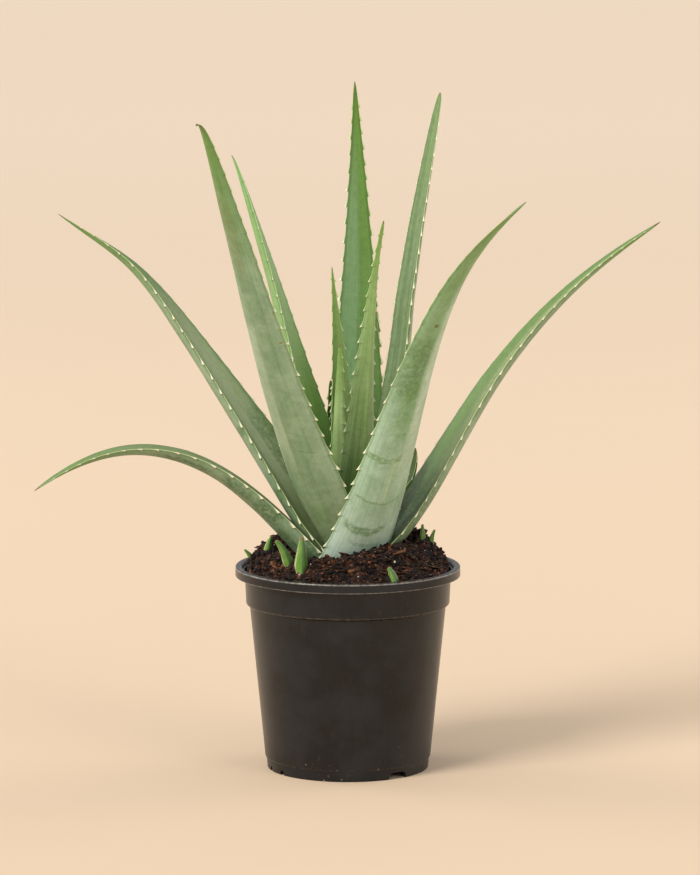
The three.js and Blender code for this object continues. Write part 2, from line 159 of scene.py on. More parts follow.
def clumps(x: Array, y: Array, size: float, seed: float) -> Array:
    """Heights of rounded clumps.

    Formula: one less the distance, in cells, to the nearest of the points drawn one to each cell.

    Args:
        x, y: places.
        size: width of a cell.
        seed: names the pattern.

    Returns:
        Heights from 0 between the clumps to 1 on their tops.
    """
    column, row = np.floor(x / size), np.floor(y / size)
    nearest = np.full(np.shape(x), np.inf)
    for right, up in itertools.product((-1, 0, 1), repeat=2):
        spot_x = column + right + draw(column + right, row + up, seed)
        spot_y = row + up + draw(column + right, row + up, seed + 5.0)
        nearest = np.minimum(nearest, np.hypot(x / size - spot_x, y / size - spot_y))
    return np.clip(1.0 - nearest, 0.0, 1.0)


# ---- shader maths


class Signal:
    """A shader socket that takes part in sums: each operator adds its Math node."""

    def __init__(self, recipe: "Recipe", socket: bpy.types.NodeSocket) -> None:
        """Keeps the socket and the recipe that it belongs to."""
        self.recipe = recipe
        self.socket = socket

    def _math(self, operation: str, *values: "Signal | float") -> "Signal":
        """One Math node on the values, in their order."""
        return self.recipe.node("ShaderNodeMath", {"operation": operation}, dict(enumerate(values)))

    def __add__(self, other: "Signal | float") -> "Signal":
        """Sum."""
        return self._math("ADD", self, other)

    __radd__ = __add__

    def __sub__(self, other: "Signal | float") -> "Signal":
        """Difference."""
        return self._math("SUBTRACT", self, other)

    def __rsub__(self, other: "Signal | float") -> "Signal":
        """Difference with this one taken away."""
        return self._math("SUBTRACT", other, self)

    def __mul__(self, other: "Signal | float") -> "Signal":
        """Product."""
        return self._math("MULTIPLY", self, other)

    __rmul__ = __mul__

    def __abs__(self) -> "Signal":
        """Size without sign."""
        return self._math("ABSOLUTE", self)

    def larger(self, other: "Signal | float") -> "Signal":
        """The larger of two signals."""
        return self._math("MAXIMUM", self, other)

    def rise(self, low: float, high: float) -> "Signal":
        """Smooth rise.

        Args:
            low: the value that gives 0.
            high: the value that gives 1; below low, the signal falls instead.

        Returns:
            A signal from 0 to 1.
        """
        return self.recipe.node(
            "ShaderNodeMapRange",
            {"interpolation_type": "SMOOTHSTEP"},
            {"Value": self, "From Min": low, "From Max": high},
        )


class Recipe:
    """The nodes of one material, round one Principled shader."""

    COLOUR_A: ClassVar[int] = 6  # the numbers of sockets that share a name with others
    COLOUR_B: ClassVar[int] = 7
    COLOUR_OUT: ClassVar[int] = 2
    FAC_OUT: ClassVar[int] = 2
    OBJECT_OUT: ClassVar[int] = 3

    def __init__(self, name: str) -> None:
        """Starts a material with nothing but its shader.

        Args:
            name: the material's name.
        """
        self.material = bpy.data.materials.new(name)
        self.material.use_nodes = True
        self.tree = self.material.node_tree
        self.tree.nodes.clear()
        self.shader = self.tree.nodes.new("ShaderNodeBsdfPrincipled")
        output = self.tree.nodes.new("ShaderNodeOutputMaterial")
        self.tree.links.new(self.shader.outputs[0], output.inputs["Surface"])

    def node(self, kind: str, settings: dict, inputs: dict, out: int | str = 0) -> Signal:
        """Any node.

        Args:
            kind: the node's type.
            settings: its own settings, such as a Math node's operation.
            inputs: numbers, colours or signals for its sockets, by name or number.
            out: the output that is wanted.

        Returns:
            That output.
        """
        made = self.tree.nodes.new(kind)
        for key, value in settings.items():
            setattr(made, key, value)
        for key, value in inputs.items():
            self.feed(made.inputs[key], value)
        return Signal(self, made.outputs[out])

    def feed(self, socket: bpy.types.NodeSocket, value: Signal | float | Triple) -> None:
        """Links a signal to a socket, or sets the socket.

        Args:
            socket: the socket.
            value: a signal, number, vector or colour.
        """
        if isinstance(value, Signal):
            self.tree.links.new(value.socket, socket)
        elif socket.type == "RGBA":
            socket.default_value = (*value, 1.0)
        else:
            socket.default_value = value

    def mix(self, low: Signal | Colour, high: Signal | Colour, share: Signal | float,
            blend: str = "MIX") -> Signal:
        """Mixes two colours.

        Args:
            low: the colour at share 0.
            high: the colour at share 1.
            share: how much of the second one shows.
            blend: Blender's blend type.

        Returns:
            The mixed colour.
        """
        return self.node(
            "ShaderNodeMix",
            {"data_type": "RGBA", "blend_type": blend},
            {0: share, self.COLOUR_A: low, self.COLOUR_B: high},
            self.COLOUR_OUT,
        )

    def coats(self, base: Signal | Colour, *coats: tuple[Signal | Colour, Signal | float]) -> Signal:
        """Colours laid over a base, one after another.

        Args:
            base: the colour below.
            coats: each a colour and how much of it shows.

        Returns:
            The colour with its last coat.
        """
        for colour, share in coats:
            base = self.mix(base, colour, share)
        return base

    def attribute(self, name: str) -> Signal:
        """A number that the mesh carries on its points."""
        return self.node("ShaderNodeAttribute", {"attribute_name": name}, {}, self.FAC_OUT)

    def place(self) -> Signal:
        """The point in the object's own coordinates, in metres."""
        return self.node("ShaderNodeTexCoord", {}, {}, self.OBJECT_OUT)

    def scaled(self, vector: Signal, factors: Triple, offset: Triple = (0.0, 0.0, 0.0)) -> Signal:
        """A vector times three factors, plus an offset."""
        return self.node("ShaderNodeMapping", {}, {"Vector": vector, "Scale": factors, "Location": offset})

    def noise(self, vector: Signal, scale: float, detail: float = 3.0, rough: float = 0.55,
              bend: float = 0.0) -> Signal:
        """Noise texture.

        Args:
            vector: where it is read.
            scale: lumps in a metre.
            detail: octaves.
            rough: strength of the finer octaves.
            bend: distortion.

        Returns:
            A signal round 0.5.
        """
        inputs = {"Vector": vector, "Scale": scale, "Detail": detail, "Roughness": rough, "Distortion": bend}
        return self.node("ShaderNodeTexNoise", {}, inputs)

    def cells(self, vector: Signal, scale: float, out: str = "Distance") -> Signal:
        """Distance to the nearest of scattered points, or that point's own random colour."""
        return self.node("ShaderNodeTexVoronoi", {}, {"Vector": vector, "Scale": scale}, out)

    def finish(self, *, colour: Signal, roughness: Signal | float, height: Signal, relief: float,
               **fixed: float | Colour) -> bpy.types.Material:
        """Feeds the Principled shader.

        Args:
            colour: the base colour.
            roughness: the roughness.
            height: the relief, 0 to 1.
            relief: what 1 of the relief is in millimetres.
            fixed: other sockets with one value all over, with _ for a space in their names.

        Returns:
            The material.
        """
        self.feed(self.shader.inputs["Base Color"], colour)
        self.feed(self.shader.inputs["Roughness"], roughness)
        bump = {"Strength": 1.0, "Distance": relief * METRES, "Height": height}
        self.feed(self.shader.inputs["Normal"], self.node("ShaderNodeBump", {}, bump))
        for name, value in fixed.items():
            self.feed(self.shader.inputs[name.replace("_", " ")], value)
        return self.material


# ---- meshes


@dataclass
class Draft:
    """A mesh being worked out: points in millimetres, faces, and what the materials read."""

    points: Array
    faces: list[Array]
    uv: Array | None = None
    layers: dict[str, Array] = field(default_factory=dict)

    @classmethod
    def joined(cls, drafts: list["Draft"]) -> "Draft":
        """All drafts as one.

        Args:
            drafts: the drafts; those after the first have at least its layers.

        Returns:
            One draft with the layers of the first.
        """
        starts = np.cumsum([0] + [len(draft.points) for draft in drafts[:-1]])
        faces = [block + start for draft, start in zip(drafts, starts) for block in draft.faces]
        layers = {key: np.concatenate([draft.layers[key] for draft in drafts]) for key in drafts[0].layers}
        return cls(np.concatenate([draft.points for draft in drafts]), faces, None, layers)

    def volume(self) -> float:
        """Signed volume, in cubic millimetres.

        Formula: the sum over fans of triangles of a sixth of a . (b x c).

        Returns:
            The volume, below 0 where the faces point inwards.
        """
        total = 0.0
        for block in self.faces:
            first = self.points[block[:, 0]]
            for corner in range(1, block.shape[1] - 1):
                second, third = self.points[block[:, corner]], self.points[block[:, corner + 1]]
                total += np.einsum("ij,ij->", first, np.cross(second, third)) / 6.0
        return total

    def outward(self) -> "Draft":
        """Turns the faces round where they point inwards.

        Returns:
            This same draft.
        """
        if self.volume() < 0:
            self.faces = [block[:, ::-1] for block in self.faces]
        return self

    def mesh(self, name: str) -> bpy.types.Mesh:
        """The draft as Blender's mesh, smooth, in metres.

        Args:
            name: the mesh's name.

        Returns:
            The mesh with its UV map and its layers.
        """
        mesh = bpy.data.meshes.new(name)
        faces = [face for block in self.faces for face in block.tolist()]
        mesh.from_pydata((self.points * METRES).tolist(), [], faces)
        mesh.polygons.foreach_set("use_smooth", np.ones(len(mesh.polygons), bool))
        if self.uv is not None:
            corners = np.zeros(len(mesh.loops), np.int32)
            mesh.loops.foreach_get("vertex_index", corners)
            layer = mesh.uv_layers.new(name="skin")
            layer.data.foreach_set("uv", (self.uv[corners] * METRES).astype(np.float32).ravel())
        for key, values in self.layers.items():
            layer = mesh.attributes.new(key, "FLOAT", "POINT")
            layer.data.foreach_set("value", np.asarray(values, np.float32).ravel())
        mesh.update()
        return mesh


def tube_faces(rows: int, columns: int) -> Array:
    """Quads of a grid of points whose last column joins its first.

    Args:
        rows, columns: size of the grid.

    Returns:
        The quads, four point numbers each.
    """
    index = np.arange(rows * columns).reshape(rows, columns)
    following = np.roll(index, -1, axis=1)
    quads = np.stack([index[:-1], following[:-1], following[1:], index[1:]], axis=-1)
    return quads.reshape(-1, 4)


def fan_faces(ring: Array, centre: int) -> Array:
    """Triangles from a closed ring of points to one centre."""
    return np.stack([ring, np.full(len(ring), centre), np.roll(ring, -1)], axis=-1)


def closed_tube(grid: Array, first: Array, last: Array) -> Draft:
    """A tube of rings closed by a point at each end.

    Args:
        grid: rings of points, rows by columns by 3.
        first: the point that closes the first ring.
        last: the point that closes the last ring.

    Returns:
        The closed draft, its two end points last.
    """
    rows, columns = grid.shape[:2]
    points = np.concatenate([grid.reshape(-1, 3), [first, last]])
    ring = np.arange(columns)
    ends = [
        fan_faces(ring, rows * columns),
        fan_faces((rows - 1) * columns + ring, rows * columns + 1)[:, ::-1],
    ]
    return Draft(points, [tube_faces(rows, columns), *ends]).outward()


def turned(profile: Array, segments: int) -> Draft:
    """A profile turned about the Z axis, from one point on the axis to another.

    Formula: each ring is the profile's radius times the cosine and sine of even angles.

    Args:
        profile: radius and height of each point, the first and last on the axis.
        segments: columns round the axis.

    Returns:
        The closed draft.
    """
    angles = np.linspace(0.0, 2.0 * np.pi, segments, endpoint=False)
    radius, height = profile[1:-1, :1], profile[1:-1, 1:]
    rings = np.broadcast_arrays(radius * np.cos(angles), radius * np.sin(angles), height)
    return closed_tube(np.stack(rings, axis=-1), profile[0, 1] * UP, profile[-1, 1] * UP)


def put(name: str, data: bpy.types.ID) -> bpy.types.Object:
    """Puts data into the scene.

    Args:
        name: the object's name.
        data: its mesh, lamp or camera.

    Returns:
        The object, at the origin.
    """
    made = bpy.data.objects.new(name, data)
    bpy.context.scene.collection.objects.link(made)
    return made


def show(mesh: bpy.types.Mesh, material: bpy.types.Material, slot: str, *nodes: str) -> None:
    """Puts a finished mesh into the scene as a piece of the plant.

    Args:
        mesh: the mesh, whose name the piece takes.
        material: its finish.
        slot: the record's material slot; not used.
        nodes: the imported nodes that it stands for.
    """
    piece = put(mesh.name, mesh)
    mesh.materials.clear()
    mesh.materials.append(material)
    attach(piece, BODY)
    if nodes:
        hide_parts(*nodes)
    LOG.info("%s: %d faces for %s", piece.name, len(mesh.polygons), ", ".join(nodes) or "the surface")


# ---- leaf finish


@dataclass(frozen=True)
class Mark:
    """A stain, or a painted band of light or shade, on one side of a leaf, placed by shares of the leaf's
    length and half width.
    """

    share: float  # of the length, from the foot
    across: float  # of the half width
    length: float  # mm along the leaf
    breadth: float  # of the half width, to each side
    colour: Colour
    strength: float = 0.8
    bend: float = 0.0  # how far its ends curve to the tip, in mm
    slant: float = 0.0  # mm along the leaf for each half width across
    ragged: float = 0.0  # unevenness of its edge, in mm
    on_face: bool = False  # on the channelled upper face instead of the back

    WHOLE: ClassVar[float] = 900.0  # a length that runs past both ends of any leaf
    EDGE_LUMPS: ClassVar[float] = 160.0  # lumps in a metre that make a ragged edge
    PATCH_LUMPS: ClassVar[float] = 310.0  # and those that break the stain into patches

    def mask(self, recipe: Recipe, along: Signal, across: Signal, rib_length: float) -> Signal:
        """Where the mark shows.

        Formula: the distance along the leaf from the mark's curved line, within its length, times
        the distance across from its middle, within its breadth; a ragged mark is patchy as well.

        Args:
            recipe: the leaf's material.
            along: millimetres along the leaf.
            across: half widths across it.
            rib_length: the leaf's length in millimetres.

        Returns:
            A signal from 0 to the mark's strength.
        """
        aside = across - self.across
        line = aside * aside * self.bend + aside * self.slant + self.share * rib_length
        if self.ragged:
            line = line + (recipe.noise(recipe.place(), self.EDGE_LUMPS, 2.0) - 0.5) * (4.0 * self.ragged)
        near = abs(along - line).rise(self.length * 0.5, self.length * 0.22)
        shown = near * abs(aside).rise(self.breadth, self.breadth * 0.7) * self.strength
        if self.ragged:
            patches = recipe.noise(recipe.place(), self.PATCH_LUMPS, 4.0, 0.7)
            shown = shown * (patches.rise(0.38, 0.56) * 0.7 + 0.3)
        return shown


@dataclass(frozen=True)
class LeafSkin:
    """A leaf's waxy skin."""

    body: Colour
    deep: Colour  # the streaks and blotches
    bloom: Colour  # pale wax, also laid towards the back's margins as a painted sheen
    face: Colour  # the channelled upper face
    foot: Colour
    tip: Colour
    wax: float = 0.5  # how much of the pale wax lies on it
    streaking: float = 0.5
    spotting: float = 0.0
    contrast: float = 1.5  # of the fine mottling
    glow: float = 0.12  # share of the light that goes through the flesh
    roughness: float = 0.46
    margin: Colour = screen(210, 220, 150)
    thorn: Colour = screen(250, 249, 208)
    dead: Colour = screen(112, 88, 48)
    fade: float = 0.6  # share of the length where the tip's colour begins
    line_width: float = 0.42  # of the pale margin, in mm

    FIBRES: ClassVar[Triple] = (640.0, 12.0, 1.0)  # fine streaks in a metre, across and along
    STREAKS: ClassVar[Triple] = (230.0, 7.0, 1.0)
    SPOTS: ClassVar[Triple] = (330.0, 110.0, 1.0)
    BLOTCHES: ClassVar[float] = 46.0  # lumps in a metre
    MOTTLING: ClassVar[float] = 210.0
    SPECKS: ClassVar[float] = 900.0
    SHADE: ClassVar[tuple[float, float]] = (2.6, 0.9)  # mm in from the margin
    RELIEF: ClassVar[float] = 0.22  # mm
    FLESH: ClassVar[Triple] = (0.0035, 0.0045, 0.0015)  # metres that each colour goes through it

    def material(self, name: str, seed: float, leaf: "LeafShape") -> bpy.types.Material:
        """The skin of one leaf.

        Args:
            name: the material's name.
            seed: shifts the patterns.
            leaf: the leaf, for its length, stains, painted light and shade, and dry tip.

        Returns:
            The material.
        """
        recipe, rib_length = Recipe(name), leaf.midrib().length
        share, across = recipe.attribute("share"), recipe.attribute("across")
        edge, tooth, upper = recipe.attribute("edge"), recipe.attribute("tooth"), recipe.attribute("upper")
        place = recipe.scaled(recipe.place(), (1.0, 1.0, 1.0), (seed, 0.3 * seed, 0.0))
        skin = recipe.node("ShaderNodeUVMap", {"uv_map": "skin"}, {})
        fibre = recipe.noise(recipe.scaled(skin, self.FIBRES, (seed, 0.0, 0.0)), 1.0, 4.0, 0.65)
        broad = recipe.noise(recipe.scaled(skin, self.STREAKS, (seed, seed, 0.0)), 1.0, 2.0, 0.5)
        blotch = recipe.noise(place, self.BLOTCHES, 4.0, 0.62, 0.5)
        mottle = recipe.noise(place, self.MOTTLING, 5.0, 0.7)
        speck = recipe.noise(place, self.SPECKS, 3.0, 0.7)
        back = 1.0 - upper

        # Painted sheen: the pale wax colour laid on the back towards both margins stands for the light that
        # the rounded back catches at grazing angles.
        painted_rim_sheen = abs(across).rise(0.55, 1.0) * back * (fibre * 0.5 + 0.5)
        colour = recipe.coats(
            self.body,
            (self.deep, broad.rise(0.46, 0.72) * self.streaking),
            (self.deep, fibre.rise(0.52, 0.8) * (0.7 * self.streaking)),
            (self.bloom, blotch.rise(0.38, 0.72) * self.wax),
            # painted rim sheen
            (self.bloom, painted_rim_sheen * (1.1 * self.wax)),
            (self.face, upper * 0.75),
            (self.tip, share.rise(self.fade, 1.0) * 0.85),
            (self.foot, share.rise(0.22, 0.02) * 0.8),
            (self.deep, mottle.rise(0.56, 0.72) * 0.3),
        )
        if self.spotting:
            spots = recipe.cells(recipe.scaled(skin, self.SPOTS, (seed, 0.0, 0.0)), 1.0)
            shown = spots.rise(0.24, 0.1) * (self.spotting * blotch.rise(0.4, 0.6))
            colour = recipe.mix(colour, self.bloom, shown)
        along = share * rib_length
        # The marks are stains, and on some leaves painted light and shade.
        stains = [
            (mark.colour, mark.mask(recipe, along, across, rib_length) * (upper if mark.on_face else back))
            for mark in leaf.marks
        ]
        tone = mottle * 0.45 + fibre * 0.35 + speck * 0.2 - 0.5
        colour = recipe.mix(recipe.coats(colour, *stains), tone * self.contrast + 1.0, 1.0, "MULTIPLY")
        rim = edge.rise(self.line_width, 0.45 * self.line_width)
        dry = 1.0 - leaf.dry_tip / rib_length
        withered = (share + (fibre - 0.5) * 0.01).rise(dry - 0.004, dry + 0.004)
        colour = recipe.coats(
            colour,
            (self.deep, edge.rise(*self.SHADE) * (1.0 - rim) * 0.5),
            (self.margin, rim * share.rise(1.0, 0.93) * (fibre * 0.5 + 0.45)),
            (self.thorn, tooth.rise(leaf.thorn_from, leaf.thorn_from + 0.33)),
            (self.dead, withered * 0.9),
        )
        return recipe.finish(
            colour=colour, roughness=fibre * 0.14 + (self.roughness - 0.07),
            height=fibre * 0.45 + speck * 0.25 + blotch * 0.6, relief=self.RELIEF,
            Specular_IOR_Level=0.45, Subsurface_Weight=self.glow,
            Subsurface_Radius=self.FLESH, Subsurface_Scale=1.0,
        )


class Skin(Enum):
    """The kinds of skin on this plant."""

    SAGE = LeafSkin(
        body=screen(120, 147, 112), deep=screen(89, 120, 79), bloom=screen(162, 183, 152),
        face=screen(113, 131, 69), foot=screen(137, 153, 115), tip=screen(100, 140, 58), wax=0.45,
    )
    GLAUCOUS = LeafSkin(
        body=screen(141, 174, 141), deep=screen(105, 139, 93), bloom=screen(184, 208, 185),
        face=screen(108, 133, 86), foot=screen(195, 214, 196), tip=screen(119, 152, 88), wax=0.55,
    )
    GREEN = LeafSkin(
        body=screen(88, 115, 57), deep=screen(64, 94, 41), bloom=screen(132, 154, 100),
        face=screen(85, 115, 50), foot=screen(121, 141, 81), tip=screen(95, 130, 52), wax=0.35,
        streaking=0.7, spotting=0.35, roughness=0.42,
    )
    BRIGHT = LeafSkin(
        body=screen(174, 208, 133), deep=screen(117, 151, 77), bloom=screen(211, 234, 175),
        face=screen(121, 154, 79), foot=screen(157, 181, 111), tip=screen(127, 163, 77), wax=0.35,
        streaking=0.6, spotting=0.3, roughness=0.4,
    )
    EMERALD = LeafSkin(
        body=screen(134, 168, 104), deep=screen(90, 135, 76), bloom=screen(156, 191, 139),
        face=screen(143, 178, 102), foot=screen(121, 152, 62), tip=screen(133, 177, 110), wax=0.35,
        streaking=0.4, roughness=0.42, glow=0.1,
    )
    STRIPED = LeafSkin(
        body=screen(135, 157, 121), deep=screen(79, 105, 61), bloom=screen(160, 177, 143),
        face=screen(120, 142, 96), foot=screen(134, 151, 114), tip=screen(111, 140, 74), wax=0.35,
        streaking=0.8, spotting=0.2, contrast=2.2,
    )
    SHOOT = LeafSkin(
        body=screen(100, 142, 58), deep=screen(66, 108, 38), bloom=screen(156, 182, 98),
        face=screen(130, 168, 72), foot=screen(158, 170, 106), tip=screen(94, 136, 52), wax=0.3,
        streaking=0.4, roughness=0.28, contrast=1.6, margin=screen(222, 228, 166), line_width=0.45,
    )


# ---- leaves


@dataclass(frozen=True)
class Spots:
    """Places along a midrib with the leaf's own directions there, all as arrays."""

    point: Array
    along: Array
    across: Array
    lift: Array

    def offset(self, across: Array, lift: Array, along: Array) -> Array:
        """Points that stand off the midrib.

        Args:
            across, lift, along: distances in millimetres, rows by columns.

        Returns:
            Points, rows by columns by 3.
        """
        return (
            self.point[:, None]
            + across[..., None] * self.across[:, None]
            + lift[..., None] * self.lift[:, None]
            + along[..., None] * self.along[:, None]
        )


class Midrib:
    """A leaf's midrib: one cubic through four points that stand at equal steps of it."""

    FINE_STEPS: ClassVar[int] = 800

    def __init__(self, controls: Array, side: Array, roll: tuple[float, float]) -> None:
        """Works out the length along the cubic.

        Args:
            controls: the cubic's four control points.
            side: the level direction square to the leaf's own plane.
            roll: twist at the foot and at the tip, in degrees.
        """
        self.controls, self.side, self.roll = controls, side, roll
        self.fine = np.linspace(0.0, 1.0, self.FINE_STEPS)
        steps = np.linalg.norm(np.diff(self._points(self.fine), axis=0), axis=1)
        self.run = np.concatenate([[0.0], np.cumsum(steps)])
        self.length = float(self.run[-1])

    def _points(self, t: Array) -> Array:
        """Points of the cubic: the Bernstein weights times its control points."""
        s = 1.0 - t
        return np.stack([s**3, 3 * s * s * t, 3 * s * t * t, t**3], axis=-1) @ self.controls

    def _tangents(self, t: Array) -> Array:
        """Unit tangents: the quadratic of the differences of the control points."""
        s = 1.0 - t
        return unit(np.stack([s * s, 2 * s * t, t * t], axis=-1) @ np.diff(self.controls, axis=0))

    def at(self, share: Array) -> Spots:
        """Places at shares of the length.

        Formula: the level direction is the tangent crossed with the side, turned about the tangent
        by the roll; the direction across is the tangent crossed with that.

        Args:
            share: shares of the length, from the foot.

        Returns:
            The places with their directions.
        """
        t = np.interp(share * self.length, self.run, self.fine)
        along = self._tangents(t)
        level = unit(np.cross(along, self.side))
        twist = np.radians(self.roll[0] + (self.roll[1] - self.roll[0]) * t)[:, None]
        lift = level * np.cos(twist) + np.cross(along, level) * np.sin(twist)
        return Spots(self._points(t), along, np.cross(along, lift), lift)


@dataclass(frozen=True)
class Teeth:
    """The hooked teeth of a margin."""

    reach: float = 2.9
    dwindle: float = 0.5  # share of the reach lost from foot to tip
    spacing: float = 15.0
    unevenness: float = 0.3
    crowding: float = 0.3  # share of the spacing lost at the tip
    tip_offset: float = 1.1  # the point stands this far past the tooth's foot
    flank: float = 0.66  # the long hollow flank, as a share of the way to the next tooth
    lean: float = 0.75  # how far the point leans back to the leaf's foot
    bare_tip: float = 3.0
    size_spread: tuple[float, float] = (0.95, 0.3)  # least share of the reach, and what a draw adds
    run_out: float = 0.1  # share of the reach that runs out to the next tooth
    steps: tuple[float, ...] = (0.0, 0.35, 0.7, 0.92, 1.1, 1.3, 1.65, 2.2, 3.1, 4.4, 6.2, 8.6)

    RISE: ClassVar[float] = 1.7  # powers of the tooth's two flanks
    FALL: ClassVar[float] = 2.7

    def places(self, seed: float, length: float, last: float) -> Array:
        """Where the teeth's feet stand.

        Formula: each step is the spacing, uneven by a draw, and shorter by the square of the way.

        Args:
            seed: names the draws.
            length: the leaf's length in millimetres.
            last: share of the length where the last ring stands.

        Returns:
            Distances along the leaf, the last ring's included.
        """
        found, along, index = [0.0], 0.0, 0
        while along < length:
            uneven = 1.0 + self.unevenness * (float(draw(index, seed)) - 0.5)
            along += self.spacing * uneven * (1.0 - self.crowding * (along / length) ** 2)
            if along < length * last - self.bare_tip:
                found.append(along)
            index += 1
        return np.array([*found, length * last])

    def profile(self, along: Array, places: Array, length: float, seed: float) -> Array:
        """How far the margin stands out.

        Formula: before its point a tooth rises as a power of the way; after it a long flank falls
        as a power of what is left of it, and a small share of the reach runs out to the next tooth.

        Args:
            along: distances along the leaf.
            places: where the teeth's feet stand.
            length: the leaf's length.
            seed: names the draws for the teeth's sizes.

        Returns:
            Distances in millimetres, 0 past the last tooth.
        """
        index = np.clip(np.searchsorted(places, along + 1e-6, side="right") - 1, 0, len(places) - 1)
        start, following = places[index], places[np.minimum(index + 1, len(places) - 1)]
        gap = np.maximum(following - start, 1e-6)
        least, spread = self.size_spread
        reach = self.reach * (1.0 - self.dwindle * start / length)
        reach = reach * (least + spread * draw(index, seed + 3.0))
        past = np.clip(along - start, 0.0, None)
        before = np.clip(past / self.tip_offset, 0.0, 1.0) ** self.RISE
        left = np.clip(1.0 - (past - self.tip_offset) / (self.flank * gap), 0.0, 1.0)
        after = (1.0 - self.run_out) * left**self.FALL + self.run_out * np.clip(1.0 - past / gap, 0.0, 1.0)
        outward = reach * np.where(past < self.tip_offset, before, after)
        return np.where(along >= places[-1], 0.0, outward)


@dataclass(frozen=True)
class LeafShape:
    """One leaf of the rosette, or one young shoot, by its measured form."""

    name: str
    facing: float  # the way it leans: 0 is +X and -90 the front
    path: tuple[tuple[float, float], ...]  # reach and height at the foot, a third, two thirds, tip
    width: float
    thick: float
    channel: float
    skin: Skin = Skin.GREEN
    taper: float = 0.65
    thin: float = 0.6
    belly: float = 0.12
    foot_share: float = 0.8
    roll: tuple[float, float] = (0.0, 0.0)
    sway: float = 0.0
    root: tuple[float, float] = (4.0, 0.0)
    teeth: Teeth | None = Teeth()
    marks: tuple[Mark, ...] = ()
    dry_tip: float = 2.0  # mm of it
    thorn_from: float = 0.22  # share of a tooth's reach where its pale point begins
    blunt: float = 0.8  # mm added to half the width near the tip

    LAST_RING: ClassVar[float] = 0.965
    BACK_FULLNESS: ClassVar[float] = 0.62
    NEAR_MARGIN: ClassVar[tuple[float, ...]] = (0.35, 0.9, 1.8)  # mm in from the margin
    NEAR_BACK: ClassVar[tuple[float, ...]] = (0.12, 0.5, 1.2)
    INNER: ClassVar[tuple[float, ...]] = (1.0, 0.86, 0.7, 0.52, 0.34, 0.17, 0.0)
    UPPER_PULL: ClassVar[tuple[float, ...]] = (0.42, 0.1, 0.0)  # how far the tooth draws them out
    BACK_PULL: ClassVar[tuple[float, ...]] = (0.55, 0.16, 0.0)
    MARGIN_DROP: ClassVar[float] = 0.28
    NARROW: ClassVar[float] = 6.5  # half width below which the margin's lines draw together
    MARGIN_ZONE: ClassVar[float] = 2.6  # mm in from the margin where the inner lines begin
    EVEN_RINGS: ClassVar[int] = 60  # besides those at the teeth
    SHOOT_RINGS: ClassVar[int] = 40
    TIP_STEPS: ClassVar[tuple[float, ...]] = (0, 0.2, 0.38, 0.54, 0.68, 0.8, 0.89, 0.95, 0.985)
    LEAST_GAP: ClassVar[float] = 0.12  # mm between rings
    TOOTH_GAP: ClassVar[float] = 0.2  # mm kept free before the next tooth
    TIP_GAP: ClassVar[float] = 0.3  # and before the rings of the tip
    RIGHT_SEED: ClassVar[float] = 37.0  # sets the right margin's teeth apart from the left one's
    BLUNT_END: ClassVar[float] = 0.03  # share of the length where the blunt tip closes
    WAVER: ClassVar[tuple[float, float]] = (55.0, 0.5)  # length and height in mm of its waves
    RIPPLE: ClassVar[tuple[float, float]] = (24.0, 0.22)
    CALM_FOOT: ClassVar[float] = 0.2  # share of the length over which the waves set in
    CALM_WIDTH: ClassVar[float] = 12.0  # half width in mm below which they die down

    def midrib(self) -> Midrib:
        """The midrib through the four points of the path.

        Formula: the handle next to a is -5a/6 + 3b - 3c/2 + d/3, so that the cubic passes b and c
        at a third and two thirds; the sway grows with the square of the way.

        Returns:
            The midrib.
        """
        facing = math.radians(self.facing)
        out = np.array([math.cos(facing), math.sin(facing), 0.0])
        side = np.array([-out[1], out[0], 0.0])
        reach, height = np.array(self.path, float).T[:, :, None]
        swing = self.sway * (np.arange(4)[:, None] / 3.0) ** 2
        points = np.array([*self.root, 0.0]) + reach * out + height * UP + swing * side
        weights = np.array([-5 / 6, 3.0, -1.5, 1 / 3])
        controls = np.array([points[0], weights @ points, weights @ points[::-1], points[3]])
        return Midrib(controls, side, self.roll)

    def half_width(self, share: Array) -> Array:
        """Half the width.

        Formula: a smooth rise from the foot to the belly, then a power of what is left, and near
        the tip a little more, which keeps it blunt.

        Args:
            share: shares of the length, from the foot.

        Returns:
            Millimetres from the midrib to the margin.
        """
        foot = self.foot_share + (1.0 - self.foot_share) * smooth(share / self.belly)
        left = np.clip((1.0 - share) / (1.0 - self.belly), 0.0, None)
        blunt = self.blunt * share**8 * np.sqrt(np.clip((1.0 - share) / self.BLUNT_END, 0.0, 1.0))
        return self.width / 2.0 * foot * np.minimum(1.0, left**self.taper) + blunt

    def upper_face(self, share: Array, u: Array) -> Array:
        """Height of the hollow upper face above the midrib: a parabola across the leaf."""
        return self.channel * (1.0 - share) * u * u

    def back_face(self, share: Array, u: Array) -> Array:
        """Height of the rounded back above the midrib.

        Formula: the rim's height less the depth times a power of 1 - u2.

        Args:
            share: shares of the length, from the foot.
            u: places across, -1 to 1 from margin to margin.

        Returns:
            Heights in millimetres.
        """
        rim = self.channel * (1.0 - share)
        depth = rim + self.thick * np.clip(1.0 - share, 0.0, None) ** self.thin
        return rim - depth * np.clip(1.0 - u * u, 0.0, None) ** self.BACK_FULLNESS

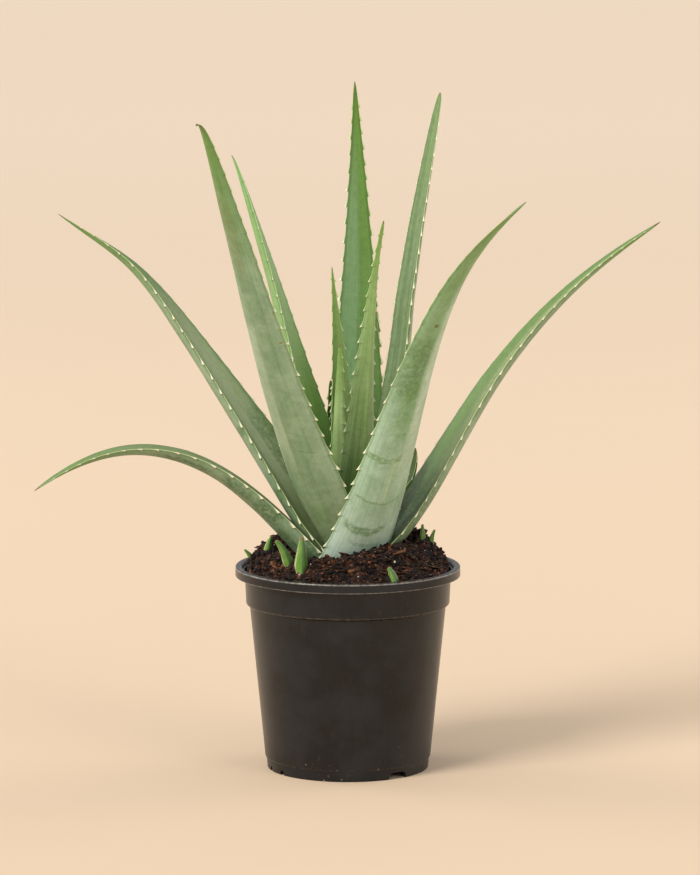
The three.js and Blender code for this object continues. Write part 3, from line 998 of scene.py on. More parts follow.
    def _rows(self, length: float) -> tuple[Array, list[Array]]:
        """Where the leaf's rings stand: evenly, closer at the teeth, closest at the tip.

        Args:
            length: the leaf's length in millimetres.

        Returns:
            Distances along the leaf, and the two margins' tooth places.
        """
        last = self.LAST_RING
        tip = length * (last + (1.0 - last) * np.array(self.TIP_STEPS))
        if self.teeth is None:
            return np.concatenate([np.linspace(0.0, length * last, self.SHOOT_RINGS)[:-1], tip]), []
        seeds = (self.facing, self.facing + self.RIGHT_SEED)
        margins = [self.teeth.places(seed, length, last) for seed in seeds]
        steps = np.array(self.teeth.steps)
        found = [np.linspace(0.0, length * last, self.EVEN_RINGS)[:-1]]
        for places in margins:
            rows = places[:-1, None] + steps[None]
            found.append(rows[steps[None] < np.diff(places)[:, None] - self.TOOTH_GAP])
        rows = np.unique(np.concatenate(found).round(2))
        rows = rows[np.concatenate([[True], np.diff(rows) > self.LEAST_GAP])]
        return np.concatenate([rows[rows < tip[0] - self.TIP_GAP], tip]), margins

    def _section(self, share: Array) -> tuple[Array, Array, Array, Array]:
        """The section's lines.

        Formula: near each margin the lines keep their distance from it; between them they share
        out what is left of the width. The first line is the left margin, the middle one the right.

        Args:
            share: shares of the length where the rings stand.

        Returns:
            Each line's distance across, its lift, and the pull of the left and the right margin.
        """
        half = self.half_width(share)[:, None]
        close = np.minimum(1.0, half / self.NARROW)
        inner = np.array([*self.INNER, *[-level for level in self.INNER[-2::-1]]])
        body = (half - self.MARGIN_ZONE * close) * inner[::-1]
        near = half - close * np.array(self.NEAR_MARGIN)
        behind = half - close * np.array(self.NEAR_BACK)
        upper = np.concatenate([-near, body, near[:, ::-1]], axis=1)
        back = np.concatenate([behind, body[:, ::-1], -behind[:, ::-1]], axis=1)
        rim = self.upper_face(share, 1.0)[:, None] - self.MARGIN_DROP * close
        rows = share[:, None]
        across = np.concatenate([-half, upper, half, back], axis=1)
        lift = np.concatenate(
            [rim, self.upper_face(rows, upper / half), rim, self.back_face(rows, back / half)], axis=1
        )
        still, none = [0.0] * len(inner), [0.0] * len(self.NEAR_MARGIN)
        left = np.array([1.0, *self.UPPER_PULL, *still, *none, 0.0, *none, *still, *self.BACK_PULL[::-1]])
        right = np.array([0.0, *none, *still, *self.UPPER_PULL[::-1], 1.0, *self.BACK_PULL, *still, *none])
        return across, lift, left, right

    def draft(self) -> Draft:
        """The leaf as one closed surface, its teeth drawn out of its margins.

        Formula: the section is carried along the midrib; each margin's lines go outward by the
        teeth's profile and lean back to the foot by the square of it.

        Returns:
            The draft, with a UV map round and along the leaf and the layers that its skin reads.
        """
        rib = self.midrib()
        along, margins = self._rows(rib.length)
        share = along / rib.length
        spots = rib.at(share)
        across, lift, left, right = self._section(share)
        teeth, pull, tooth = self.teeth, 0.0 * across, 0.0 * across
        if teeth is not None:
            seeds = (self.facing, self.facing + self.RIGHT_SEED)
            out = [teeth.profile(along, places, rib.length, seed) for places, seed in zip(margins, seeds)]
            pull = left * out[0][:, None] + right * out[1][:, None]
            tooth = pull / teeth.reach
        lean = -(teeth.lean if teeth else 0.0) * tooth**2
        long_wave, sway = self.WAVER
        short_wave, swell = self.RIPPLE
        waver = (Noise(long_wave, self.facing).at(along) * sway * smooth(share / self.CALM_FOOT))[:, None]
        ripple = Noise(short_wave, self.facing + 9.0, 2).at(along[:, None] + 0.0 * across, across * 1.7)
        inward = np.minimum(1.0, self.half_width(share) / self.CALM_WIDTH)[:, None]
        lifted = lift + waver * inward + swell * ripple * inward
        grid = spots.offset(across + np.sign(left - right) * -pull, lifted, lean)
        draft = closed_tube(grid, self._foot_point(rib), rib.at(np.array([1.0])).point[0])
        self._lay_skin(draft, rib, along, across, lift, tooth)
        return draft

    def build(self, seed: float, slot: str) -> None:
        """Makes the leaf and dresses it.

        Args:
            seed: shifts the skin's patterns.
            slot: the record's material slot.
        """
        material = self.skin.value.material(self.name, seed, self)
        show(self.draft().mesh(self.name + "_skin"), material, slot, self.name)

    def _foot_point(self, rib: Midrib) -> Array:
        """The point that closes the foot: half as deep as the back."""
        foot = rib.at(np.array([0.0]))
        return foot.point[0] + foot.lift[0] * float(self.back_face(0.0, 0.0)) / 2.0

    def _lay_skin(self, draft: Draft, rib: Midrib, along: Array, across: Array,
                  lift: Array, tooth: Array) -> None:
        """Adds what the skin's material reads.

        Args:
            draft: the leaf, whose last two points close its foot and tip.
            rib: its midrib.
            along: distance along the leaf of each ring.
            across, lift: the section's lines, rings by lines.
            tooth: how far each point belongs to a tooth, 0 to 1.
        """
        right_margin = 2 * (len(self.NEAR_MARGIN) + len(self.INNER))
        to_left = np.hypot(across - across[:, :1], lift - lift[:, :1])
        to_right = np.hypot(across - across[:, right_margin, None], lift - lift[:, right_margin, None])
        upper = (np.arange(across.shape[1]) < right_margin).astype(float)
        reference = int(np.argmax(across[:, right_margin]))
        steps = np.hypot(np.diff(across[reference]), np.diff(lift[reference]))
        around = np.concatenate([[0.0], np.cumsum(steps)])
        rows = np.ones_like(across)
        half = np.maximum(across[:, right_margin, None], 1e-6)
        layers = {
            "share": (rows * (along / rib.length)[:, None], 0.0, 1.0),
            "across": (np.clip(across / half, -1.0, 1.0), 0.0, 0.0),
            "edge": (np.minimum(to_left, to_right), 9.0, 0.5),
            "tooth": (tooth, 0.0, 0.0),
            "upper": (rows * upper, 0.0, 0.5),
        }  # on the rings, then at the points that close the foot and the tip
        draft.layers = {key: np.append(rings, ends) for key, (rings, *ends) in layers.items()}
        grid_uv = np.stack([rows * around, rows * along[:, None]], axis=-1).reshape(-1, 2)
        draft.uv = np.concatenate([grid_uv, [[around[-1] / 2, 0.0], [around[-1] / 2, rib.length]]])


@dataclass(frozen=True)
class Rosette:
    """The leaves, from the outermost to the innermost."""

    water: Colour = screen(104, 138, 84)
    moss: Colour = screen(84, 116, 66)
    bruise: Colour = screen(128, 120, 78)
    sap: Colour = screen(92, 30, 24)
    pale: Colour = screen(196, 206, 136)
    white: Colour = screen(214, 224, 200)
    # Painted rim light: the pale strips on the edges of the front leaves, and the lighter halves beside them.
    blue: Colour = screen(126, 160, 116)
    haze: Colour = screen(168, 180, 138)
    lush: Colour = screen(98, 142, 58)
    dusk: Colour = screen(70, 100, 60)
    straw: Colour = screen(172, 192, 126)

    def _marks(self) -> dict[str, tuple[Mark, ...]]:
        """The stains: rings left by water, scratches, dots and mottling; on the front leaves also painted
        light and shade.

        Returns:
            Each leaf's marks by its name.
        """
        face = partial(Mark, on_face=True)
        front_right = (
            Mark(0.276, 0.45, 6.5, 0.62, self.water, 0.75, bend=13, ragged=1.2),
            Mark(0.173, 0.22, 2.6, 0.85, self.water, 0.6, bend=10, ragged=0.8),
            Mark(0.102, 0.35, 8.5, 0.66, self.water, 0.8, bend=16, ragged=1.8),
            Mark(0.068, 0.2, 4, 0.55, self.water, 0.4, bend=10, ragged=1.5),
            Mark(0.233, 0.16, 46, 0.035, self.pale, 0.5),
            Mark(0.341, 0.12, 3.2, 0.06, self.moss, 0.5),
            Mark(0.609, 0.38, 3.8, 0.12, self.sap, 1.0),
            Mark(0.548, 0.1, 1.3, 0.5, self.moss, 0.6, slant=9, ragged=1.0),
            Mark(0.513, 0.0, 1.2, 0.6, self.moss, 0.35, slant=14, ragged=1.4),
            # Painted rim light on the right edge, and painted light over the right half.
            Mark(0.5, -0.93, Mark.WHOLE, 0.2, self.white, 0.75),
            Mark(0.45, -0.45, 200, 0.5, self.white, 0.3),
            Mark(0.78, 1.3, 330, 1.5, self.lush, 0.5),
            Mark(0.5, 0.55, 70, 0.5, self.moss, 0.6, ragged=8),
            Mark(0.4, 0.3, 60, 0.35, self.lush, 0.4, ragged=8),
        )
        front_left = (
            Mark(0.348, 0.12, 9, 0.08, self.bruise, 0.7, ragged=1.5),
            Mark(0.287, -0.5, 1.2, 0.32, self.moss, 0.6, slant=7.5, ragged=0.5),
            Mark(0.524, -0.9, 2.4, 0.06, self.bruise, 0.9),
            Mark(0.857, -0.33, 24, 0.06, self.moss, 0.5),
            Mark(0.842, -0.2, 12, 0.04, self.moss, 0.5),
            Mark(0.14, -0.1, 22, 0.5, self.water, 0.4, ragged=5),
            # Painted rim light on the left edge, and painted light over the left half.
            Mark(0.5, 0.92, Mark.WHOLE, 0.2, self.white, 0.65),
            Mark(0.42, 0.5, 160, 0.5, self.white, 0.2),
            Mark(0.75, 0.0, 80, 0.5, self.bruise, 0.3, ragged=7),
        )
        low_left = tuple(
            Mark(share, across, length, 0.5, self.dusk, 0.75, ragged=4)
            for share, across, length in (
                (0.55, -0.4, 60), (0.39, -0.5, 40), (0.28, -0.6, 30), (0.19, -0.3, 26), (0.11, -0.8, 24),
            )
        )
        low_left += (Mark(0.45, -0.2, 210, 1.1, self.dusk, 0.3, ragged=7),)
        left = (
            Mark(0.36, -0.85, 12, 0.25, self.moss, 0.6, ragged=2),
            Mark(0.2, -0.9, 16, 0.3, self.water, 0.5, ragged=3),
            face(0.5, 1.3, Mark.WHOLE, 1.1, self.moss, 0.35, ragged=3),
            face(0.5, -1.1, Mark.WHOLE, 0.6, self.moss, 0.25, ragged=3),
            face(0.35, 0.1, 300, 0.9, self.haze, 0.45),
            face(0.3, 0.5, 90, 0.5, self.dusk, 0.6, ragged=7),
        )
        right = (
            face(0.1, 0.2, 150, 1.3, self.dusk, 0.8, ragged=6),
            face(0.66, 0.9, 260, 1.0, self.straw, 0.5, ragged=5),
            face(0.6, -1.2, 380, 1.2, self.lush, 0.55),
            Mark(0.12, 0.6, 120, 0.6, self.dusk, 0.6, ragged=6),
        )
        tall_back = (
            face(0.4, -1.5, 420, 1.8, self.blue, 0.6),
            face(0.5, 1.6, Mark.WHOLE, 1.8, self.lush, 0.5),
            face(0.24, 0.1, 110, 0.5, self.straw, 0.5, ragged=9),
        )
        back_right = (
            face(0.5, -0.3, Mark.WHOLE, 0.3, self.dusk, 0.3),
            face(0.5, 0.4, Mark.WHOLE, 0.2, self.dusk, 0.25),
            face(0.2, -0.3, 160, 0.9, self.haze, 0.4, ragged=8),
        )
        front_centre = (
            # Painted shade on the left half, painted light on the right half and a painted rim highlight on
            # the right edge.
            Mark(0.5, 1.4, Mark.WHOLE, 1.3, self.moss, 0.4),
            Mark(0.5, -1.1, Mark.WHOLE, 1.1, self.haze, 0.5),
            Mark(0.5, -0.95, Mark.WHOLE, 0.3, self.white, 0.4),
        )
        return {
            "leaf_front_right": front_right, "leaf_front_left": front_left, "leaf_low_left": low_left,
            "leaf_left": left, "leaf_right": right, "leaf_tall_back": tall_back,
            "leaf_back_right": back_right, "leaf_front_centre": front_centre,
        }

    def leaves(self) -> list[LeafShape]:
        """Every leaf with its measured form and its own stains and painted light."""
        marks = self._marks()
        return [replace(leaf, marks=marks.get(leaf.name, ())) for leaf in self._shapes()]

    def _shapes(self) -> list[LeafShape]:
        """The measured forms.

        Returns:
            The leaves without their stains and painted light, from the outermost to the innermost.
        """
        sage, glaucous, green, bright = Skin.SAGE, Skin.GLAUCOUS, Skin.GREEN, Skin.BRIGHT
        emerald, striped = Skin.EMERALD, Skin.STRIPED
        return [
            LeafShape("leaf_low_left", 188, ((6, 155), (47, 184), (125, 241), (241, 216)), 38.5, 12.7, 4.2,
                      sage, taper=0.51, belly=0.13, thin=0.77, roll=(-1, 0), dry_tip=5, thorn_from=0.06),
            LeafShape("leaf_front_right", 310, ((3, 156), (62, 283), (110, 373), (193, 445)), 55.5, 10.6, 6.4,
                      glaucous, taper=0.67, belly=0.11, foot_share=1.1, thin=0.56, roll=(-6, 29),
                      root=(4, -5), dry_tip=0.8, blunt=2.4),
            LeafShape("leaf_left", 169, ((7, 157), (119, 318), (170, 380), (228, 417)), 49, 14.7, 5.9,
                      sage, taper=0.85, foot_share=0.72, thin=0.69, roll=(-22, 16), dry_tip=5,
                      thorn_from=0.06),
            LeafShape("leaf_right", 16, ((7, 156), (69, 231), (129, 319), (242, 409)), 46, 9.6, 4.3,
                      sage, taper=0.66, belly=0.11, thin=0.51, roll=(7, -7), sway=-5, dry_tip=6,
                      thorn_from=0.06),
            LeafShape("leaf_front_left", 234, ((4, 160), (92, 300), (159, 445), (194, 499)), 48, 10.6, 5.8,
                      sage, taper=0.69, belly=0.21, foot_share=0.64, thin=0.55, roll=(1, -13), sway=2,
                      root=(4, 5), dry_tip=3, blunt=1.2),
            LeafShape("leaf_short_right", 25, ((6, 158), (22, 197), (42, 213), (52, 241)), 26, 9, 3, green),
            LeafShape("leaf_hidden_left", 113, ((14, 158), (27, 203), (36, 247), (43.5, 290)), 24, 7, 3,
                      green),
            LeafShape("leaf_back_left", 157, ((6, 167), (32, 263), (74, 398), (100, 461)), 42, 10.5, 4.7,
                      emerald, taper=0.93, belly=0.15, thin=0.47, roll=(-21, 31)),
            LeafShape("leaf_back_right", 37, ((6, 167), (43, 309), (51, 360), (84, 508)), 26.7, 11.1, 4,
                      striped, taper=0.44, thin=0.66, roll=(-7, 1), sway=2, dry_tip=0.5, thorn_from=0.04),
            LeafShape("leaf_tall_back", 83, ((4, 168), (36, 285), (54, 400), (59, 516)), 45, 11, 4,
                      green, taper=0.92, belly=0.19, sway=6),
            LeafShape("leaf_inner_right", 74, ((8, 167), (42, 224), (56, 288), (65, 341)), 25, 8, 3, green),
            LeafShape("leaf_front_centre", 297, ((3, 166), (11, 248), (24, 339), (46, 420)), 33, 10, 4,
                      bright, taper=1.25, belly=0.14, thin=0.64, sway=2, blunt=1.6),
            LeafShape("leaf_inner_left", 128, ((3, 172), (13, 252), (17, 300), (26, 379)), 32, 7, 3,
                      bright, taper=1.05, belly=0.17, thin=0.65),
            LeafShape("leaf_young", 205, ((2, 172), (10, 218), (10, 274), (11, 323)), 19, 9, 3,
                      bright, taper=0.54, belly=0.13, thin=0.45),
        ]

    def build(self) -> None:
        """Makes every leaf and dresses it."""
        slots = {Skin.SAGE: "leaf_sage", Skin.GLAUCOUS: "leaf_glaucous", Skin.STRIPED: "leaf_glaucous"}
        for index, leaf in enumerate(self.leaves()):
            leaf.build(1.7 * index, slots.get(leaf.skin, "leaf_green"))


# ---- soil


@dataclass(frozen=True)
class SoilShape:
    """The soil's surface: it rises from the pot's wall to the crown, with heaps at the wall."""

    edge_height: float = 150.5
    crown_rise: float = 15.0
    edge_radius: float = 78.0
    rise_width: float = 30.0
    lump_height: float = 1.6
    heaps: tuple[tuple[float, float, float, float], ...] = (
        (15, 58, 18, 12), (152, 62, 12, 8), (172, 67, 13, 8), (75, 52, 20, 4), (219, 35, 22, -6.5),
        (330, 39, 17, 4),
    )  # azimuth, distance, spread, height
    clump_kinds: tuple[Triple, ...] = (
        (4.6, 10.0, 1.0), (3.0, 4.6, -1.0), (1.5, 2.1, 0.0),
    )  # height, width, and which way they are bent
    bend: tuple[float, float] = (1.2, 5.0)  # how far, and the length of its waves
    grit: tuple[float, float] = (0.6, 1.1)  # height and width of the finest relief
    mean_relief: float = 3.6

    def height(self, x: Array, y: Array) -> Array:
        """Height of the surface.

        Formula: the edge's height, a smooth rise to the crown, a bell for each heap, and a product
        of sines for the lumps; heaps and lumps fade out at the wall.

        Args:
            x, y: places in millimetres.

        Returns:
            Heights in millimetres.
        """
        distance = np.hypot(x, y)
        rise = self.crown_rise * smooth((self.edge_radius + 2 - distance) / self.rise_width)
        clear = smooth((self.edge_radius + 3 - distance) / 7)
        heaped = 0.0
        for azimuth, far, spread, tall in self.heaps:
            turn = math.radians(azimuth)
            away = (x - far * math.cos(turn)) ** 2 + (y - far * math.sin(turn)) ** 2
            heaped = heaped + tall * np.exp(-away / spread**2)
        lumps = np.sin(x * 0.31 + 1.3 * np.sin(y * 0.23)) * np.sin(y * 0.37 + np.sin(x * 0.19))
        return self.edge_height + rise + clear * (heaped + self.lump_height * lumps)

    def crumbly(self, x: Array, y: Array) -> Array:
        """Height of the surface with its clumps and crumbs.

        Formula: three sizes of rounded clumps and a fine noise on the smooth surface, less their
        mean, fading out at the wall.

        Args:
            x, y: places in millimetres.

        Returns:
            Heights in millimetres.
        """
        bend = self.bend[0] * Noise(self.bend[1], 2.0).at(x, y)
        rough = 0.0
        for seed, (tall, size, way) in enumerate(self.clump_kinds, start=1):
            rough = rough + tall * clumps(x + way * bend, y - way * bend, size, float(seed))
        rough = rough + self.grit[0] * Noise(self.grit[1], 4.0, 2).at(x, y) - self.mean_relief
        fade = smooth((self.edge_radius + 1.5 - np.hypot(x, y)) / 4.0)
        return self.height(x, y) + rough * fade


@dataclass(frozen=True)
class Soil:
    """The soil in the pot with the loose bits that lie on it."""

    shape: SoilShape = SoilShape()
    rings: int = 190
    segments: int = 420
    wall: tuple[tuple[float, float], ...] = (
        (76.2, 146.5), (75.1, 126.8), (72.4, 124.4), (60.9, 8.7), (59.2, 5.6), (25.0, 5.6), (20.5, 2.1),
    )  # radius and height down the pot's inside, then along its floor
    surface_radius: float = 76.4
    foot: float = 2.1
    crevice_shade: Colour = (0.003, 0.002, 0.0015)  # near-black painted shade between the crumbs
    dark: Colour = screen(13, 8, 6)
    brown: Colour = screen(66, 36, 22)
    fleck: Colour = screen(172, 108, 70)
    tan: Colour = screen(158, 104, 62)
    white: Colour = screen(232, 226, 212)

    def material(self, name: str, low: Colour, high: Colour, coarse: float,
                 relief: float) -> bpy.types.Material:
        """A crumbly finish between two colours.

        Args:
            name: the material's name.
            low: the colour on dark bits, and in the hollows of the bed as painted shade.
            high: the colour on light bits, and on the tops of the bed's clumps as painted light.
            coarse: lumps in a metre.
            relief: height of the finest lumps in millimetres.

        Returns:
            The material.
        """
        recipe = Recipe(name)
        place, tone = recipe.place(), recipe.attribute("tone")
        lumps = recipe.noise(place, coarse, 5.0, 0.65)
        grit = recipe.noise(place, 6.0 * coarse, 3.0, 0.7)
        flecks = recipe.cells(place, 1.4 * coarse, "Color")
        patches = recipe.noise(place, 95.0, 3.0, 0.6)
        colour = recipe.coats(
            low,
            # On the bed, tone is painted light and shade; on the loose bits it is each bit's own lightness.
            (high, tone * 0.8 + lumps.rise(0.46, 0.72) * 0.6),
            (self.fleck, flecks.rise(0.76, 0.88) * 0.6),
            # Painted shade: near black where the fine noise is low, standing for the gaps between the crumbs.
            (self.crevice_shade, grit.rise(0.56, 0.4) * 0.85),
        )
        colour = recipe.mix(colour, patches.rise(0.36, 0.64) * 1.1 + 0.35, 1.0, "MULTIPLY")
        return recipe.finish(
            colour=colour, roughness=grit * 0.2 + 0.68, height=lumps * 0.5 + grit * 0.5, relief=relief,
            Specular_IOR_Level=0.3,
        )

    def bed(self) -> Draft:
        """The body of soil: a fine surface of rings, then the pot's inside down to its floor.

        Formula: rings stand at even steps of the radius, each lifted to the crumbly surface.

        Returns:
            The closed draft with the layer "tone", lighter on the tops of the clumps: painted light on the
            tops, painted shade in the hollows.
        """
        angles = np.linspace(0.0, 2.0 * np.pi, self.segments, endpoint=False)
        wall = np.array(self.wall)
        level = self.surface_radius * np.linspace(0.0, 1.0, self.rings)[1:]
        radii = np.concatenate([level, wall[:, 0]])[:, None]
        x, y = radii * np.cos(angles), radii * np.sin(angles)
        z = self.shape.crumbly(x, y)
        z[-len(wall):] = wall[:, 1:]
        top = float(self.shape.crumbly(np.zeros(1), np.zeros(1))[0])
        grid = np.stack([x, y, z], axis=-1)
        draft = closed_tube(grid, top * UP, self.foot * UP)
        # Painted light and shade: the higher a point stands above the smooth surface, the lighter its tone.
        tone = np.clip((z - self.shape.height(x, y)) / 5.0 + 0.3, 0.0, 1.0) ** 1.5
        draft.layers = {"tone": np.concatenate([tone.ravel(), [0.4, 0.0]])}
        return draft

    def build(self, keep_clear: Array) -> None:
        """Makes the soil and the loose bits.

        Args:
            keep_clear: points of leaves and shoots that the loose bits stay away from.
        """
        loose = LooseBits(self.shape, keep_clear)
        earth = self.material("soil_dark", self.dark, self.brown, 260.0, 0.5)
        show(self.bed().mesh("soil_bed"), earth, "soil", "soil")
        for name, draft, low, high, coarse, relief in (
            ("soil_crumbs", loose.crumbs(), self.dark, self.brown, 500.0, 0.3),
            ("soil_bark_chips", loose.chips(), screen(26, 15, 10), self.tan, 420.0, 0.35),
            ("soil_fibres", loose.fibres(), screen(70, 36, 20), self.tan, 300.0, 0.1),
            ("soil_perlite", loose.grains(), screen(190, 184, 172), self.white, 900.0, 0.2),
        ):
            show(draft.mesh(name), self.material(name, low, high, coarse, relief), "soil")


@dataclass(frozen=True)
class Scatter:
    """How one kind of loose bit is strewn over the soil."""

    seed: int
    count: int
    clearance: float  # least distance from leaves and shoots, in mm
    outer: float = 75.5  # radius of the disc that they fall on


class LooseBits:
    """Crumbs, bark chips, fibres and perlite grains scattered on the soil by seeded draws."""

    CRUMBS: ClassVar[Scatter] = Scatter(11, 4200, 1.6)
    GRAINS: ClassVar[Scatter] = Scatter(23, 400, 1.2)
    CHIPS: ClassVar[Scatter] = Scatter(37, 660, 3.0, 72.0)
    FIBRES: ClassVar[Scatter] = Scatter(51, 170, 1.5, 71.0)
    SEEN_CHIPS: ClassVar[tuple[tuple[float, ...], ...]] = (
        (2.6, -66.4, 2.2, 3.6, 0.8), (8, -66.4, 2.0, 2.6, 0.7), (43.5, -53, 1.8, 2.8, 0.75),
        (31, -55, 4.4, 7.0, 0.02), (-66, 18, 3.0, 4.5, 0.1), (-57, 30, 3.0, 4.5, 0.15),
        (-30, -68, 1.0, 3.6, 0.6), (22, -70, 0.8, 3.2, 0.4), (57, -38, 1.0, 4.0, 0.1),
        (-45, -60, 0.6, 3.0, 0.75), (30, -62, 0.8, 2.6, 0.8), (66, -24, 1.0, 3.4, 0.5),
    )  # x, y, height above the soil, length, lightness
    SEEN_GRAIN: ClassVar[tuple[float, ...]] = (34.8, -56.0, 4.6, 1.1)  # x, y, height, radius
    CHIP_SIDES: ClassVar[int] = 7
    CHIP_TILT: ClassVar[float] = 38.0  # degrees
    FIBRE_ROWS: ClassVar[int] = 9
    FIBRE_SIDES: ClassVar[int] = 3

    def __init__(self, shape: SoilShape, keep_clear: Array) -> None:
        """Keeps the soil's shape, and the points of leaves and shoots near it."""
        self.shape = shape
        self.keep_clear = keep_clear

    def _strewn(self, kind: Scatter) -> tuple[np.random.Generator, Array]:
        """Places on the soil.

        Formula: even draws over the disc; those nearer to a leaf or shoot than the clearance are
        left out.

        Args:
            kind: how this kind of bit is strewn.

        Returns:
            The source of the draws that follow, and points on the crumbly surface.
        """
        rng = np.random.default_rng(kind.seed)
        radius = kind.outer * np.sqrt(rng.random(kind.count))
        turn = 2.0 * np.pi * rng.random(kind.count)
        x, y = radius * np.cos(turn), radius * np.sin(turn)
        points = np.stack([x, y, self.shape.crumbly(x, y)], axis=-1)
        away = np.full(kind.count, np.inf)
        for block in np.array_split(self.keep_clear, max(1, len(self.keep_clear) // 400)):
            away = np.minimum(away, np.linalg.norm(points[:, None] - block[None], axis=-1).min(axis=1))
        return rng, points[away > kind.clearance]

    @staticmethod
    def _tumbled(rng: np.random.Generator, shape: Array, tilt: float) -> Array:
        """Bits turned at random, each its own way.

        Formula: any turn about Z, then a lean of up to the tilt about a level axis.

        Args:
            rng: the source of the draws.
            shape: points of every bit about its centre, bits by points by 3.
            tilt: the largest lean in degrees.

        Returns:
            The points after the turns.
        """
        count = len(shape)
        spin, axis = 2 * np.pi * rng.random((2, count))
        lean = np.radians(tilt) * (2 * rng.random(count) - 1)
        zero, one = np.zeros(count), np.ones(count)
        about_z = np.array([[np.cos(spin), -np.sin(spin), zero], [np.sin(spin), np.cos(spin), zero],
                            [zero, zero, one]]).transpose(2, 0, 1)
        x, y, c, s = np.cos(axis), np.sin(axis), np.cos(lean), np.sin(lean)
        over = np.array([[c + x * x * (1 - c), x * y * (1 - c), y * s],
                         [x * y * (1 - c), c + y * y * (1 - c), -x * s],
                         [-y * s, x * s, c]]).transpose(2, 0, 1)
        return np.einsum("nij,npj->npi", over @ about_z, shape)

    @staticmethod
    def _many(shape: Array, faces: list[Array], centres: Array, tone: Array) -> Draft:
        """Copies of one small shape's faces on each bit's own points.

        Args:
            shape: points of every bit about its centre, bits by points by 3.
            faces: the faces of one bit.
            centres: where the bits lie.
            tone: one lightness for each bit.

        Returns:
            All of them as one draft.
        """
        count, size = shape.shape[:2]
        starts = (np.arange(count) * size)[:, None, None]
        blocks = [(block[None] + starts).reshape(-1, block.shape[1]) for block in faces]
        points = (shape + centres[:, None]).reshape(-1, 3)
        return Draft(points, blocks, None, {"tone": np.repeat(tone, size)}).outward()

    @staticmethod
    def _rods(rings: Array, rows: int, sides: int) -> tuple[Array, list[Array]]:
        """Small rods of rings, closed by the middle of each end ring.

        Args:
            rings: points of every bit's rings, bits by points by 3.
            rows: rings of one bit.
            sides: points of one ring.

        Returns:
            The points with the two middles, and the faces of one bit.
        """
        middles = [rings[:, :sides].mean(axis=1), rings[:, -sides:].mean(axis=1)]
        points = np.concatenate([rings, np.stack(middles, axis=1)], axis=1)
        ring, count = np.arange(sides), rows * sides
        ends = [fan_faces(ring, count), fan_faces(count - sides + ring, count + 1)[:, ::-1]]
        return points, [tube_faces(rows, sides), *ends]

    @staticmethod
    def _lump() -> tuple[Array, Array]:
        """A round lump's points and triangles: an icosahedron.

        Formula: the corners are the even turns of (0, 1, golden ratio), brought to unit length.

        Returns:
            Twelve points and twenty triangles.
        """
        golden = (1 + math.sqrt(5)) / 2
        corners = [(a, b * golden, 0) for a, b in itertools.product((-1, 1), repeat=2)]
        points = np.array([np.roll(corner, shift) for shift in range(3) for corner in corners], float)
        gaps = np.linalg.norm(points[:, None] - points[None], axis=-1)
        triples = [
            triple for triple in itertools.combinations(range(12), 3)
            if all(abs(gaps[a, b] - 2.0) < 1e-6 for a, b in itertools.combinations(triple, 2))
        ]
        faces = np.array(triples)
        first, second, third = (points[faces[:, corner]] for corner in range(3))
        facing = np.einsum("ij,ij->i", np.cross(second - first, third - first), first)
        faces[facing < 0] = faces[facing < 0][:, ::-1]
        return unit(points), faces

    def crumbs(self) -> Draft:
        """Crumbs of peat.

        Formula: lumps of 0.5 to 2.2 mm radius, most of them small, stretched and made uneven.

        Returns:
            All crumbs as one draft.
        """
        rng, places = self._strewn(self.CRUMBS)
        count = len(places)
        base, faces = self._lump()
        radius = 0.5 + 1.7 * rng.random(count) ** 3.2
        stretch = radius[:, None, None] * rng.uniform(0.65, 1.35, (count, 1, 3))
        shape = base[None] * stretch * rng.uniform(0.75, 1.2, (count, len(base), 1))
        shape = self._tumbled(rng, shape, 180.0)
        centres = places + np.outer(0.45 * radius, UP)
        return self._many(shape, [faces], centres, 1.3 * rng.random(count) ** 4.0)

    def grains(self) -> Draft:
        """Perlite: pale rough grains.

        Formula: uneven lumps, a few large and many like dust; the first is the large one seen.

        Returns:
            All grains as one draft.
        """
        rng, places = self._strewn(self.GRAINS)
        x, y, above, largest = self.SEEN_GRAIN
        places[0] = (x, y, float(self.shape.crumbly(np.array(x), np.array(y))) + above)
        count = len(places)
        base, faces = self._lump()
        radius = 0.22 + 0.75 * rng.random(count) ** 5
        radius[0] = largest
        shape = base[None] * radius[:, None, None] * rng.uniform(0.75, 1.25, (count, len(base), 3))
        centres = places + np.outer(0.8 * radius + 0.3, UP)
        return self._many(shape, [faces], centres, rng.random(count))

    def chips(self) -> Draft:
        """Bark chips: uneven slabs with seven sides, lying flat or tilted.

        Formula: four rings of seven points about the chip's middle, the outer two drawn in. The
        first chips are the large ones that the photo shows.

        Returns:
            All chips as one draft.
        """
        seen = np.array(self.SEEN_CHIPS)
        rng, places = self._strewn(self.CHIPS)
        places[: len(seen), :2] = seen[:, :2]
        places[: len(seen), 2] = self.shape.crumbly(seen[:, 0], seen[:, 1]) + seen[:, 2]
        count, sides = len(places), self.CHIP_SIDES
        turn = np.arange(sides) * 2 * np.pi / sides
        outline = rng.uniform(0.65, 1.15, (count, 1, sides))
        long = 1.3 + 5.6 * rng.random((count, 1, 1)) ** 2.4
        wide = rng.uniform(0.35, 0.7, (count, 1, 1))
        long[: len(seen), 0, 0] = seen[:, 3]
        thick = rng.uniform(0.45, 1.2, (count, 1, 1))
        drawn_in = np.array([0.72, 1.0, 1.0, 0.7])[None, :, None]
        level = np.array([-0.5, -0.25, 0.3, 0.5])[None, :, None]
        rows = level.size
        x = long * outline * drawn_in * np.cos(turn) * rng.uniform(0.93, 1.07, (count, rows, sides))
        y = long * wide * outline * drawn_in * np.sin(turn) * rng.uniform(0.93, 1.07, (count, rows, sides))
        z = thick * (level + 0.0 * x)
        rings = np.stack([x, y, z], axis=-1).reshape(count, rows * sides, 3)
        shape, faces = self._rods(rings, rows, sides)
        shape = self._tumbled(rng, shape, self.CHIP_TILT)
        centres = places + 0.5 * UP
        tone = 0.85 * rng.random(count) ** 6.0
        tone[: len(seen)] = seen[:, 4]
